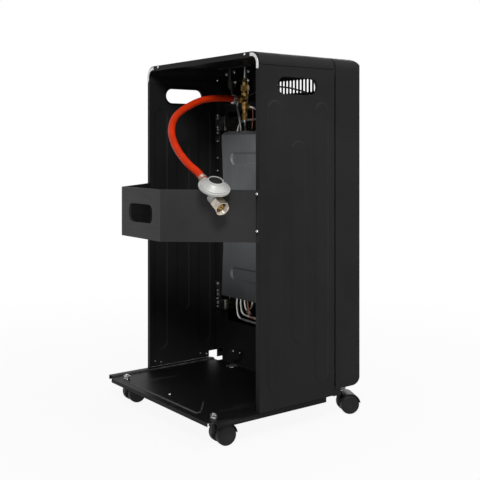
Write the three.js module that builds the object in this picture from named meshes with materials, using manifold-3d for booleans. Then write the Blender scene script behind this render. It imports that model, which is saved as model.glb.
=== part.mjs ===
// Portable gas cabinet heater: a sheet-metal cabinet on four twin-wheel casters, open at the back for
// a gas bottle, with a burner behind a wire guard at the front and a hose with its regulator.
// Millimetres, +Z up, the burner faces -Y and the open back +Y; +X is the right side seen from the front.
// Heights are above the floor, and depths are measured from the cabinet's rear plane (y = 0).

import * as THREE from 'three';
import { mergeVertices } from 'three/addons/utils/BufferGeometryUtils.js';
import Module from 'manifold-3d';

const wasm = await Module();
wasm.setup();

// ---------------------------------------------------------------- driving dimensions

// Cabinet
const cabinetWidth = 420;
const half = cabinetWidth / 2;
const cabinetTop = 751;
const sidePanelDepth = 197;
const frontFaceDepth = 272;
const sheet = 1.2;
const clearance = 0.3;
const foldRadius = 6;

// Side panels
const sidePanelBottom = 57;
const rearFlangeWidth = 12;
const frontFlangeWidth = 12;
const ribWidth = 34;
const ribHeight = 2.2;
const ribSlope = 5;
const ribPitch = 61.5;
const firstRibDepth = 37;
const longRibBottom = 92;
const longRibTop = 655;
const shortRibBottom = 177;
const shortRibTop = 577;
const handleLength = 103;
const handleHeight = 33.5;
const handleDepth = 98;
const handleLevel = 686;
const handleLip = 8;
const cornerNotchDepth = 24;
const cornerNotchHeight = 12;

// Top cover
const coverSkirtBottom = 725;
const topCornerRadius = 25;
const rearLipHeight = 12;
const rearLipSideWidth = 9;
const spliceFoot = 11;
const spliceRise = 4.5;

// Front shell
const seamGap = 2.4;
const frontShellBottom = 64.4;
const frontTopRadius = 18;
const frontBottomRadius = 28;
const shellFlangeWidth = 10;
const seamTabHeight = 12;
const seamTabLevels = [160, 400, 640];
const windowWidth = 300;
const windowBottom = 240;
const windowTop = 560;
const windowRadius = 14;
const windowRimWidth = 7;
const windowRimHeight = 1.6;
const ventPitch = 12;
const ventWidth = 6.5;
const ventHeight = 33;
const ventLevel = 705.5;
const ventRow = 264;

// Base plate
const basePlateTop = 51.5;
const basePlateSheet = 1.5;
const basePlateRear = 105.8;
const railWidth = 13;
const railRise = 3;
const railBottom = 45;
const railRear = 99;
const railFront = 179;
const railFrontRadius = 9;
const rearFlangeBottom = 43.5;
const rearFlangeHalf = half - 24;
const nosePlateWidth = cabinetWidth - 64;
const nosePlateFront = 266;
const nosePlateRadius = 12;
const embossRearHalf = 126;
const embossFrontHalf = 72;
const embossFront = 38;
const embossRear = 80;
const embossHeight = 1.6;
const embossSlope = 3;

// Divider behind the burner
const dividerDepth = 194.3;
const dividerTop = 700;
const dividerFlange = 14;
const postInner = half - 35;
const postOuter = half - 11;
const postHeight = 10.3;
const postSlope = 2;
const openingHalfWidth = postInner - 15;
const openingBottom = 150;
const openingTop = 650;
const dividerRailHeight = 22;
const footCutHalf = postInner + 1;
const footCutHeight = 80;
const footFlange = 12;

// Heat shield
const shieldHalfWidth = postInner - 6;
const shieldTop = 595;
const shieldBottom = 210;
const shieldCrease = 402;
const shieldEdgeDepth = 182;
const shieldFall = 8;
const shieldBandHalf = shieldHalfWidth - 32;
const shieldBandWidth = 33;
const shieldBandLevels = [266.5, 538.5];
const shieldBandHeight = 2.5;

// Burner
const burnerCount = 3;
const burnerPitch = 96;
const burnerLevel = 400;
const burnerBodyWidth = 84;
const burnerBodyHeight = 198;
const burnerBodyBack = 212;
const burnerBodyThickness = 18;
const burnerFold = 5;
const mixingTubeRadius = 10;
const mixingTubeBore = 8.5;
const mixingTubeBottom = 205;
const bellRadius = 15;
const bellHeight = 14;
const plaqueWidth = 78;
const plaqueHeight = 192;
const plaqueThickness = 12;
const reflectorOpeningWidth = 70;
const reflectorOpeningHeight = 184;
const reflectorBackWidth = (burnerCount - 1) * burnerPitch + burnerBodyWidth;
const reflectorBackHeight = 208;
const reflectorRimWidth = windowWidth + 4;
const reflectorRimHeight = windowTop - windowBottom + 2;
const reflectorRimDepth = 264;
const reflectorRadius = 8;
const cheekHalf = reflectorRimWidth / 2 + 6.5;
const cheekBottom = 176;
const cheekTop = 640;
const armHeight = 24;
const upperArmHeight = 34;
const earInner = postInner + 3;
const earOuter = postOuter - 4;
const earLength = 67;
const upperEarBottom = 579.5;
const lowerEarBottom = 174;

// Wire guard
const guardWire = 1.5;
const guardStay = 2;
const guardPitch = 30;
const guardStays = 2;
const guardOverlap = 6;

// Controls on the top
const valveX = 53;
const valveDepth = 165;
const controlPanelX = 66;
const controlPanelWidth = 140;
const controlPanelLength = 58;
const controlPanelRadius = 8;
const controlPanelLip = 2;
const controlPanelRise = 2;
const controlPanelWell = 6;
const spindleRadius = 3;
const spindleFlat = 1;
const spindleFoot = 719;
const knobSkirtRadius = 20;
const knobGripRadius = 15.5;
const knobHeight = 19;
const knobSkirtHeight = 3;
const knobGap = 4.6;
const knobFlutes = 10;
const knobFluteRadius = 2.6;
const knobBoreDepth = 12;
const igniterX = 104;
const igniterBodyRadius = 9;
const igniterBodyBottom = 700;
const igniterCollarRadius = 12;
const buttonRadius = 7;
const buttonTravel = 5;
const buttonSink = 4;

// Gas valve and its bracket
const valveInletLevel = 675;
const valveBodyRadius = 12;
const valveBodyBottom = 650;
const valveBodyTop = 690;
const valveBonnetRadius = 10;
const valveBonnetTop = 715.7;
const valveNeckRadius = 6;
const valveFootRadius = 7.5;
const valveFootBottom = 634;
const valveInletRadius = 6.5;
const valveInletReach = 24.7;
const valveOutletRadius = 5;
const valveOutletReach = 18;
const bracketLevel = 716;
const bracketLeft = 18;
const bracketRight = 80;
const bracketLength = 42;
const bracketTail = 24;
const bracketEar = 9;

// Gas pipes
const gasPipeRadius = 3;
const pipeRunDepth = 203;
const pipeColumns = [102, 117, 132];
const pilotPipeRadius = 1.6;
const pilotColumn = 88;
const leadRadius = 1.8;
const pilotX = -48;
const pilotLevel = 276;
const pilotPortRadius = 5;
const pilotDepth = burnerBodyBack + 12;

// Tilt switch on the divider's foot
const tiltSwitchX = 109;
const tiltSwitchWidth = 24;
const tiltSwitchBottom = 66;
const tiltSwitchHeight = 20;
const tiltSwitchReach = 12;

// Hose and regulator
const hoseRadius = 7.5;
const clampRadius = 9;
const clampLength = 9;
const regulatorFlangeRadius = 31;
const regulatorRimRadius = 15;
const regulatorCapRadius = 11.3;
const regulatorCoverHeight = 16;
const regulatorFlangeHeight = 3;
const regulatorBowlRadius = 16;
const regulatorBowlHeight = 29;
const regulatorOutletDrop = 8;
const regulatorOutletReach = 40;
const regulatorOutletRadius = 6.5;
const regulatorInletDrop = 21.5;
const inletBossRadius = 9;
const inletBossReach = 22;
const inletStemRadius = 5;
const nutAcrossFlats = 26;
const nutLength = 21;
const nutThreadRadius = 10.5;
const nutBackWall = 4;

// Bottle retainer
const retainerBottom = 381.4;
const retainerTop = 482.9;
const retainerReach = 140.5;
const retainerFaceHalf = 76.2;
const retainerFootHalf = half - 10;
const retainerFlangeHalf = half - 1;
const retainerHem = 7;
const handSlotLength = 92;
const handSlotHeight = 38;
const handSlotRadius = 13;
const studX = half - 5.7;
const studLevels = [403.5, 475];
const studHeadRadius = 3.1;
const studShankRadius = 1.5;
const studHeadHeight = 1.8;
const keyholeLift = 6;

// Corner brackets
const bracketBandWidth = 6.5;
const bracketInset = 2.5;
const bracketTongue = 9;

// Casters
const casterX = half - 42;
const rearCasterY = 77;
const frontCasterY = -250;
const wheelRadius = 20;
const wheelWidth = 12.5;
const wheelSpan = 41;
const wheelHubRadius = 2.9;
const axleRadius = 2.5;
const axleInset = 4;
const casterTrail = 18;
const hoodRadius = 22.6;
const hoodThickness = 1.6;
const hoodFrontAngle = 28;
const hoodBackAngle = 172;
const hoodSteps = 7;
const socketRadius = 6.2;
const stemRadius = 4;
const stemFoot = 25;
const stemCollarRadius = 8;
const stemCollarHeight = 2.5;
const nutRadius = 6.5;
const nutHeight = 5.5;
const boltEnd = 8.5;

// Roundness: flat sides per full turn
const fineTurn = 18;
const coarseTurn = 10;
const cordTurn = 8;

// ---------------------------------------------------------------- outlines

const degrees = THREE.MathUtils.degToRad;
function arc(x, y, radius, from, to, steps = 4) {
  return Array.from({ length: steps + 1 }, (_, i) => {
    const angle = degrees(from + ((to - from) * i) / steps);
    return [x + radius * Math.cos(angle), y + radius * Math.sin(angle)];
  });
}

function circle(x, y, radius, sides = coarseTurn) {
  return arc(x, y, radius, 0, 360, sides).slice(0, sides);
}

// A box outline about (x, y) with its corners rounded.
function roundedBox(x, y, width, height, radius, steps = 3) {
  const a = width / 2 - radius;
  const b = height / 2 - radius;
  return [
    ...arc(x + a, y + b, radius, 0, 90, steps),
    ...arc(x - a, y + b, radius, 90, 180, steps),
    ...arc(x - a, y - b, radius, 180, 270, steps),
    ...arc(x + a, y - b, radius, 270, 360, steps),
  ];
}

function box(x0, x1, y0, y1) {
  return [[x0, y0], [x1, y0], [x1, y1], [x0, y1]];
}

// An obround of the given overall length and width about (x, y), lying along the first or second axis.
function obround(x, y, length, width, upright = false, steps = 4) {
  const run = (length - width) / 2;
  const turn = upright ? 90 : 0;
  const dx = upright ? 0 : run;
  const dy = upright ? run : 0;
  return [
    ...arc(x + dx, y + dy, width / 2, turn - 90, turn + 90, steps),
    ...arc(x - dx, y - dy, width / 2, turn + 90, turn + 270, steps),
  ];
}

// The outline of a strip of sheet that follows a path, on the path's left side.
function ribbon(path, thickness) {
  const normal = (from, to) => {
    const length = Math.hypot(to[0] - from[0], to[1] - from[1]);
    return [(from[1] - to[1]) / length, (to[0] - from[0]) / length];
  };
  const inner = path.map((point, i) => {
    const before = i > 0 ? normal(path[i - 1], point) : normal(point, path[i + 1]);
    const after = i < path.length - 1 ? normal(point, path[i + 1]) : before;
    const mitre = thickness / (1 + before[0] * after[0] + before[1] * after[1]);
    return [point[0] + (before[0] + after[0]) * mitre, point[1] + (before[1] + after[1]) * mitre];
  });
  return [...path, ...inner.reverse()];
}

const mirrored = (points) => points.map(([x, y]) => [-x, y]).reverse();

// ---------------------------------------------------------------- solids

const axisX = new THREE.Vector3(1, 0, 0);
const axisY = new THREE.Vector3(0, 1, 0);
const axisZ = new THREE.Vector3(0, 0, 1);

function prism(points, depth) {
  const shape = new THREE.Shape(points.map(([a, b]) => new THREE.Vector2(a, b)));
  return new THREE.ExtrudeGeometry(shape, { depth, bevelEnabled: false });
}

// Turns a solid drawn along Z so that it lies along X (drawn in y, z) or along Y (drawn in x, z).
function layAlongX(geometry) {
  return geometry.applyMatrix4(new THREE.Matrix4().makeBasis(axisY, axisZ, axisX));
}

function layAlongY(geometry) {
  const backwards = axisY.clone().negate();
  return geometry.applyMatrix4(new THREE.Matrix4().makeBasis(axisX, axisZ, backwards));
}

const alongX = (points, x0, x1) => layAlongX(prism(points, x1 - x0)).translate(x0, 0, 0);
const alongY = (points, y0, y1) => layAlongY(prism(points, y1 - y0)).translate(0, y1, 0);
const alongZ = (points, z0, z1) => prism(points, z1 - z0).translate(0, 0, z0);

const block = (x0, x1, y0, y1, z0, z1) => alongZ(box(x0, x1, y0, y1), z0, z1);

// A solid of revolution about Z, from a profile of [radius, height] points.
function revolve(profile, sides = fineTurn) {
  const points = profile.map(([radius, height]) => new THREE.Vector2(radius, height));
  return new THREE.LatheGeometry(points, sides).rotateX(Math.PI / 2);
}

function rod(radius, z0, z1, sides = coarseTurn) {
  return revolve([[0, z0], [radius, z0], [radius, z1], [0, z1]], sides);
}

// A solid through outlines with equally many points, each at its own height.
function loft(sections) {
  const count = sections[0].points.length;
  const positions = sections.flatMap(({ points, at }) => points.flatMap(([a, b]) => [a, b, at]));
  const faces = [];
  for (let s = 0; s < sections.length - 1; s += 1) {
    for (let i = 0; i < count; i += 1) {
      const a = s * count + i;
      const b = s * count + ((i + 1) % count);
      faces.push(a, b, b + count, a, b + count, a + count);
    }
  }
  const cap = (section) => {
    const outline = section.points.map(([a, b]) => new THREE.Vector2(a, b));
    return THREE.ShapeUtils.triangulateShape(outline, []);
  };
  const last = (sections.length - 1) * count;
  cap(sections[0]).forEach(([a, b, c]) => faces.push(c, b, a));
  cap(sections.at(-1)).forEach(([a, b, c]) => faces.push(last + a, last + b, last + c));
  const geometry = new THREE.BufferGeometry();
  geometry.setAttribute('position', new THREE.Float32BufferAttribute(positions, 3));
  geometry.setIndex(faces);
  return geometry;
}

// A round tube along a smooth curve through hand-chosen points.
function tube(points, radius, steps, sides = cordTurn) {
  const curve = new THREE.CatmullRomCurve3(points.map((p) => new THREE.Vector3(...p)));
  const section = new THREE.Shape(circle(0, 0, radius, sides).map(([a, b]) => new THREE.Vector2(a, b)));
  return new THREE.ExtrudeGeometry(section, { steps, extrudePath: curve });
}

// Shared corners are welded, empty triangles dropped and the faces turned outward.
function weld(geometry) {
  const bare = new THREE.BufferGeometry();
  bare.setAttribute('position', geometry.getAttribute('position').clone());
  if (geometry.index) bare.setIndex(geometry.index.clone());
  const merged = mergeVertices(bare, 1e-4);
  const corner = merged.getAttribute('position');
  const index = merged.index.array;
  const kept = [];
  let volume = 0;
  for (let i = 0; i < index.length; i += 3) {
    const [a, b, c] = [index[i], index[i + 1], index[i + 2]];
    if (a !== b && b !== c && c !== a) {
      kept.push(a, b, c);
      const [p, q, r] = [a, b, c].map((n) => new THREE.Vector3().fromBufferAttribute(corner, n));
      volume += p.dot(q.cross(r));
    }
  }
  if (volume < 0) kept.reverse();
  merged.setIndex(kept);
  return merged;
}

function toManifold(geometry) {
  const welded = weld(geometry);
  return new wasm.Manifold(new wasm.Mesh({
    numProp: 3,
    vertProperties: new Float32Array(welded.getAttribute('position').array),
    triVerts: new Uint32Array(welded.index.array),
  }));
}

function toGeometry(manifold) {
  const { vertProperties, triVerts } = manifold.getMesh();
  const geometry = new THREE.BufferGeometry();
  geometry.setAttribute('position', new THREE.Float32BufferAttribute(vertProperties, 3));
  geometry.setIndex(new THREE.Uint32BufferAttribute(triVerts, 1));
  return geometry;
}

const join = (...solids) => toGeometry(solids.map(toManifold).reduce((a, b) => a.add(b)));
const cut = (solid, ...tools) => toGeometry(tools.map(toManifold).reduce((a, b) => a.subtract(b),
  toManifold(solid)));
const common = (...solids) => toGeometry(solids.map(toManifold).reduce((a, b) => a.intersect(b)));
const flipped = (geometry) => toGeometry(toManifold(geometry.clone().scale(-1, 1, 1)));

// ---------------------------------------------------------------- materials

const finish = (color, roughness, metalness = 0) =>
  new THREE.MeshStandardMaterial({ color, roughness, metalness, flatShading: true });

const blackPaint = finish(0x343331, 0.55, 0.2);
const shieldSteel = finish(0x565a5e, 0.45, 0.6);
const zincSteel = finish(0xb9bab8, 0.35, 0.9);
const reflectorSteel = finish(0xc9cac8, 0.25, 0.95);
const ceramic = finish(0xd9cdb8, 0.9);
const guardSteel = finish(0x9a9b9c, 0.3, 0.9);
const brass = finish(0x9a7a45, 0.35, 0.9);
const copper = finish(0x9c5a38, 0.35, 0.9);
const aluminium = finish(0xa7a8a4, 0.35, 0.9);
const castMetal = finish(0xb9b9b4, 0.5, 0.6);
const nickel = finish(0xaaa195, 0.3, 0.9);
const blackPlastic = finish(0x1c1c1d, 0.5);
const leadJacket = finish(0x161616, 0.6);
const orangeRubber = finish(0xe03c14, 0.5);

// ---------------------------------------------------------------- cabinet

// The cabinet's outline seen from behind, inset by the given amount.
function rearOutline(inset, bottom, lowerRadius = 0) {
  const side = half - inset;
  const top = cabinetTop - inset;
  const radius = topCornerRadius - inset;
  const foot = lowerRadius
    ? [...arc(-side + lowerRadius, bottom + lowerRadius, lowerRadius, 180, 270, 2),
      ...arc(side - lowerRadius, bottom + lowerRadius, lowerRadius, 270, 360, 2)]
    : [[-side, bottom], [side, bottom]];
  return [
    ...foot,
    ...arc(side - radius, top - radius, radius, 0, 90, 6),
    ...arc(-side + radius, top - radius, radius, 90, 180, 6),
  ];
}

const ribDepths = [0, 1, 2].map((i) => firstRibDepth + i * ribPitch);

// One pressed rib of the panel at x = outer face, standing out by its height.
function panelRib(depth, bottom, top, outer) {
  const section = (grow, at) => ({
    points: obround(-depth, (bottom + top) / 2, top - bottom + grow, ribWidth + grow, true),
    at,
  });
  return layAlongX(loft([
    section(ribSlope, outer - 0.01),
    section(0, outer + ribHeight * 0.6),
    section(-ribSlope, outer + ribHeight),
  ]));
}

// The panel on the +X side; the other is its mirror image.
function sidePanel() {
  const outer = half;
  const inner = half - sheet;
  const top = coverSkirtBottom - clearance * 4;
  const plan = ribbon([
    [outer - rearFlangeWidth, 0],
    [outer, 0],
    [outer, -sidePanelDepth],
    [outer - frontFlangeWidth, -sidePanelDepth],
  ].reverse(), sheet);
  const wall = alongZ(plan, sidePanelBottom, top);
  const spans = [[longRibBottom, longRibTop], [shortRibBottom, shortRibTop], [longRibBottom, longRibTop]];
  const ribs = ribDepths.map((depth, i) => panelRib(depth, ...spans[i], outer));
  const pressings = ribDepths.map((depth, i) => panelRib(depth, ...spans[i], inner));
  const spliceInner = inner - sheet - clearance;
  const splice = join(
    block(spliceInner, inner + 0.1, -sidePanelDepth + 20, -20, top - spliceFoot, top),
    block(spliceInner, inner - clearance, -sidePanelDepth + 20, -20, top - 1, top + spliceRise),
  );
  const lip = alongX(
    obround(-handleDepth, handleLevel, handleLength + 2 * sheet, handleHeight + 2 * sheet),
    outer - handleLip, outer - sheet / 2,
  );
  const hole = alongX(obround(-handleDepth, handleLevel, handleLength, handleHeight),
    outer - 2 * handleLip, outer + handleLip);
  const studs = studLevels.flatMap((level) => {
    const headBack = sheet + 2 * clearance;
    return [
      alongY(circle(studX, level, studShankRadius, 8), -sheet / 2, headBack + 0.1),
      alongY(circle(studX, level, studHeadRadius, 8), headBack, headBack + studHeadHeight),
    ];
  });
  return cut(join(cut(join(wall, ...ribs), ...pressings), splice, lip, ...studs), hole);
}

// The +X panel's lower front corner is cut back clear of the rail.
function notchedPanel() {
  return cut(sidePanel(), block(half - 2 * rearFlangeWidth, half + ribWidth,
    -sidePanelDepth - 1, -sidePanelDepth + cornerNotchDepth,
    sidePanelBottom - 1, sidePanelBottom + cornerNotchHeight));
}

function topCover() {
  const front = -sidePanelDepth;
  const shell = cut(
    alongY(rearOutline(0, coverSkirtBottom), front, 0),
    alongY(rearOutline(sheet, coverSkirtBottom - 1), front - 1, 1),
  );
  const inside = [
    ...box(-half + rearLipSideWidth, half - rearLipSideWidth, coverSkirtBottom - 1, coverSkirtBottom)
      .slice(0, 2),
    ...arc(half - topCornerRadius, cabinetTop - topCornerRadius, topCornerRadius - rearLipSideWidth, 0, 60, 4),
    ...arc(-half + topCornerRadius, cabinetTop - topCornerRadius, topCornerRadius - rearLipSideWidth,
      120, 180, 4),
  ];
  const lip = (y0, y1) => cut(
    alongY(rearOutline(sheet / 2, coverSkirtBottom), y0, y1),
    alongY(inside, y0 - 1, y1 + 1),
    block(-half, half, y0 - 1, y1 + 1, coverSkirtBottom - 1, cabinetTop - topCornerRadius + 4),
  );
  const panelHole = alongZ(
    roundedBox(controlPanelX, -valveDepth, controlPanelWidth - 2 * controlPanelLip - 2,
      controlPanelLength - 2 * controlPanelLip - 2, controlPanelRadius),
    cabinetTop - 2 * sheet, cabinetTop + 1,
  );
  return cut(join(shell, lip(-sheet, 0), lip(front, front + sheet)), panelHole);
}

// The front shell's solid, inset from its outer faces.
function frontShellSolid(inset, rear) {
  const front = -frontFaceDepth + inset;
  const top = cabinetTop - inset;
  const bottom = frontShellBottom + inset;
  const upper = frontTopRadius - inset;
  const lower = frontBottomRadius - inset;
  const side = half - inset;
  const edge = foldRadius - inset;
  const profile = [
    [rear, bottom],
    [rear, top],
    ...arc(front + upper, top - upper, upper, 90, 180, 5),
    ...arc(front + lower, bottom + lower, lower, 180, 270, 6),
  ];
  const plan = [
    [side, rear],
    [-side, rear],
    ...arc(-side + edge, front + edge, edge, 180, 270, 3),
    ...arc(side - edge, front + edge, edge, 270, 360, 3),
  ];
  return common(
    alongX(profile, -half - 1, half + 1),
    alongZ(plan, frontShellBottom - 1, cabinetTop + 1),
    alongY(rearOutline(inset, bottom, edge), -frontFaceDepth - 1, rear + 1),
  );
}

function frontShell() {
  const rear = -sidePanelDepth - seamGap;
  const hollow = common(frontShellSolid(sheet, rear + 2), block(-half, half, -frontFaceDepth,
    rear + 2, 0, cabinetTop));
  const tray = cut(frontShellSolid(0, rear), hollow);
  const middle = (windowBottom + windowTop) / 2;
  const windowHeight = windowTop - windowBottom;
  const rim = layAlongY(loft([
    {
      points: roundedBox(0, middle, windowWidth + 2 * windowRimWidth, windowHeight + 2 * windowRimWidth,
        windowRadius + windowRimWidth, 4),
      at: 0,
    },
    {
      points: roundedBox(0, middle, windowWidth + windowRimWidth, windowHeight + windowRimWidth,
        windowRadius + windowRimWidth / 2, 4),
      at: windowRimHeight + 0.1,
    },
  ])).translate(0, -frontFaceDepth + 0.1, 0);
  const window = alongY(roundedBox(0, middle, windowWidth, windowHeight, windowRadius, 4),
    -frontFaceDepth - 5, -frontFaceDepth + 5);
  const flangeDepth = rear - sheet;
  const flanges = [-1, 1].flatMap((side) => {
    const edge = side * (half - sheet / 2);
    const inner = side * (half - shellFlangeWidth);
    const [x0, x1] = side > 0 ? [inner, edge] : [edge, inner];
    const tabX0 = side > 0 ? x0 + 1 : x0 + 3;
    const tabX1 = side > 0 ? x1 - 3 : x1 - 1;
    return [
      block(x0, x1, flangeDepth, rear, footCutHeight, cabinetTop - topCornerRadius),
      ...seamTabLevels.map((level) => block(tabX0, tabX1, rear - sheet, rear + seamGap - clearance,
        level - seamTabHeight / 2, level + seamTabHeight / 2)),
    ];
  });
  const vents = Array.from({ length: Math.floor(ventRow / ventPitch) }, (_, i, all) => {
    const x = (i - (Math.floor(ventRow / ventPitch) - 1) / 2) * ventPitch;
    return alongY(obround(x, ventLevel, ventHeight, ventWidth, true, 2),
      -frontFaceDepth - 5, -frontFaceDepth + 5);
  });
  return cut(join(tray, rim, ...flanges), window, ...vents);
}

function basePlate() {
  const lower = basePlateTop - basePlateSheet;
  const railTop = basePlateTop + railRise;
  const side = [
    [half - railWidth - 2, lower],
    [half - railWidth, railTop - basePlateSheet],
    [half - basePlateSheet, railTop - basePlateSheet],
    [half - basePlateSheet, railBottom],
    [half, railBottom],
    [half, railTop],
    [half - railWidth - 1, railTop],
    [half - railWidth - 3, basePlateTop],
  ];
  const section = [...side, ...mirrored(side)];
  const nose = nosePlateWidth / 2;
  const inner = nose + 1;
  const outline = [
    [half, railRear],
    [half - railWidth, railRear],
    [rearFlangeHalf, basePlateRear],
    [-rearFlangeHalf, basePlateRear],
    [-half + railWidth, railRear],
    [-half, railRear],
    ...arc(-half + railFrontRadius, -railFront + railFrontRadius, railFrontRadius, 180, 270, 3),
    [-inner, -railFront],
    ...arc(-nose + nosePlateRadius, -nosePlateFront + nosePlateRadius, nosePlateRadius, 180, 270, 3),
    ...arc(nose - nosePlateRadius, -nosePlateFront + nosePlateRadius, nosePlateRadius, 270, 360, 3),
    [inner, -railFront],
    ...arc(half - railFrontRadius, -railFront + railFrontRadius, railFrontRadius, 270, 360, 3),
  ];
  const formed = common(
    alongY(section, -nosePlateFront, basePlateRear),
    alongZ(outline, railBottom - 1, railTop + 1),
  );
  const rearFlange = block(-rearFlangeHalf, rearFlangeHalf, basePlateRear - basePlateSheet,
    basePlateRear, rearFlangeBottom, basePlateTop - 0.1);
  const trapezoid = (grow) => [
    [-embossFrontHalf - grow, embossFront - grow],
    [embossFrontHalf + grow, embossFront - grow],
    [embossRearHalf + grow, embossRear],
    [embossRearHalf + grow, embossRear + embossSlope * 3 + grow],
    [-embossRearHalf - grow, embossRear + embossSlope * 3 + grow],
    [-embossRearHalf - grow, embossRear],
  ];
  const pressing = (level) => loft([
    { points: trapezoid(embossSlope), at: level - 0.01 },
    { points: trapezoid(0), at: level + embossHeight },
  ]);
  const plate = cut(join(formed, rearFlange, pressing(basePlateTop)), pressing(lower));
  const bolts = casterPlaces.map(([x, y]) => alongZ(circle(x, y, stemRadius + clearance),
    lower - 1, basePlateTop + 1));
  return cut(plate, ...bolts);
}

function dividerPanel() {
  const inner = half - 2 * sheet - clearance;
  const face = -dividerDepth;
  const rightHalf = [
    [inner, face + dividerFlange],
    [inner, face],
    [postOuter, face],
    [postOuter - postSlope, face + postHeight],
    [postInner + postSlope, face + postHeight],
    [postInner, face],
  ];
  const path = [...rightHalf, ...mirrored(rightHalf)];
  const sheetMetal = alongZ(ribbon(path, sheet), basePlateTop + clearance, dividerTop);
  const opening = block(-openingHalfWidth, openingHalfWidth, face - 10, face + 10, openingBottom,
    openingTop);
  const above = block(-postInner + 3, postInner - 3, face - 10, face + 20,
    openingTop + dividerRailHeight, dividerTop + 1);
  const feet = [-1, 1].map((side) => block(
    Math.min(side * footCutHalf, side * half), Math.max(side * footCutHalf, side * half),
    face - 10, face + 30, 0, footCutHeight,
  ));
  const foot = block(-footCutHalf + 6, footCutHalf - 6, face - sheet, face + footFlange,
    basePlateTop + clearance, basePlateTop + clearance + sheet);
  return join(cut(sheetMetal, opening, above, ...feet), foot);
}

function heatShield() {
  const back = -dividerDepth + clearance + sheet * 0.7;
  const edge = -shieldEdgeDepth;
  const crease = edge - shieldFall;
  const lean = (dividerDepth - shieldEdgeDepth) * 0.7;
  const profile = ribbon([
    [back, shieldTop + lean],
    [edge, shieldTop],
    [crease, shieldCrease],
    [edge, shieldBottom],
    [back, shieldBottom - lean / 3],
  ], -sheet);
  const gusset = [
    [back, shieldTop + lean - 1],
    [edge - sheet / 2, shieldTop],
    [crease - sheet / 2, shieldCrease],
    [edge - sheet / 2, shieldBottom],
    [back, shieldBottom - lean / 3 + 1],
  ];
  const sides = [[-shieldHalfWidth, -shieldHalfWidth + sheet], [shieldHalfWidth - sheet, shieldHalfWidth]];
  const tilt = Math.atan2(shieldFall, shieldTop - shieldCrease);
  const band = (level, sink) => {
    const upper = level > shieldCrease;
    const rise = Math.abs(level - shieldCrease) * Math.tan(tilt);
    const outline = (grow) => obround(0, 0, 2 * shieldBandHalf + grow, shieldBandWidth + grow);
    const pressing = layAlongY(loft([
      { points: outline(0), at: 0 },
      { points: outline(-shieldBandHeight * 2), at: -shieldBandHeight },
    ]));
    return pressing.rotateX(upper ? -tilt : tilt).translate(0, crease + rise - 0.05 - sink, level);
  };
  const shell = join(
    alongX(profile, -shieldHalfWidth, shieldHalfWidth),
    ...sides.map(([x0, x1]) => alongX(gusset, x0, x1)),
    ...shieldBandLevels.map((level) => band(level, 0)),
  );
  return cut(shell, ...shieldBandLevels.map((level) => band(level, sheet)));
}

// A zinc-plated bracket over a rear top corner, on the +X side.
function cornerBracket() {
  const outer = topCornerRadius - bracketInset;
  const inner = outer - bracketBandWidth;
  const centre = [half - topCornerRadius, cabinetTop - topCornerRadius];
  const foot = centre[1] - bracketTongue;
  const outline = [
    [centre[0] + inner, foot],
    [centre[0] + outer, foot],
    ...arc(...centre, outer, 0, 90, 8),
    [centre[0] - bracketTongue / 2, centre[1] + outer],
    [centre[0] - bracketTongue / 2, centre[1] + inner],
    ...arc(...centre, inner, 90, 0, 8),
  ];
  return alongY(outline, clearance, clearance + sheet);
}

// ---------------------------------------------------------------- burner

const burnerXs = Array.from({ length: burnerCount }, (_, i) => (i - (burnerCount - 1) / 2) * burnerPitch);
const plaqueBack = burnerBodyBack + burnerBodyThickness + clearance;
const reflectorBack = plaqueBack + plaqueThickness + clearance;

function burnerBody() {
  const front = -burnerBodyBack - burnerBodyThickness;
  const bottom = burnerLevel - burnerBodyHeight / 2;
  const outline = (grow) => roundedBox(0, burnerLevel, burnerBodyWidth + grow, burnerBodyHeight + grow,
    burnerFold + 3);
  const pan = layAlongY(loft([
    { points: outline(0), at: 0 },
    { points: outline(0), at: -burnerBodyThickness + burnerFold },
    { points: outline(-2 * burnerFold), at: -burnerBodyThickness },
  ])).translate(0, front, 0);
  const tubeY = -burnerBodyBack - burnerBodyThickness / 2 + 1;
  const bell = revolve([
    [0, mixingTubeBottom + 60],
    [mixingTubeBore, mixingTubeBottom + 60],
    [mixingTubeBore, mixingTubeBottom + bellHeight],
    [bellRadius - sheet, mixingTubeBottom],
    [bellRadius, mixingTubeBottom],
    [mixingTubeRadius, mixingTubeBottom + bellHeight],
    [mixingTubeRadius, bottom - 8],
    [mixingTubeRadius - 2, bottom + 6],
    [0, bottom + 6],
  ], coarseTurn).scale(1, 0.9, 1).translate(0, tubeY, 0);
  return join(pan, bell);
}

function plaque() {
  const front = -plaqueBack - plaqueThickness;
  const outline = (grow) => roundedBox(0, burnerLevel, plaqueWidth + grow, plaqueHeight + grow, 4, 2);
  return layAlongY(loft([
    { points: outline(0), at: 0 },
    { points: outline(0), at: plaqueThickness - 1.5 },
    { points: outline(-3), at: plaqueThickness },
  ])).translate(0, front + plaqueThickness, 0);
}

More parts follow.
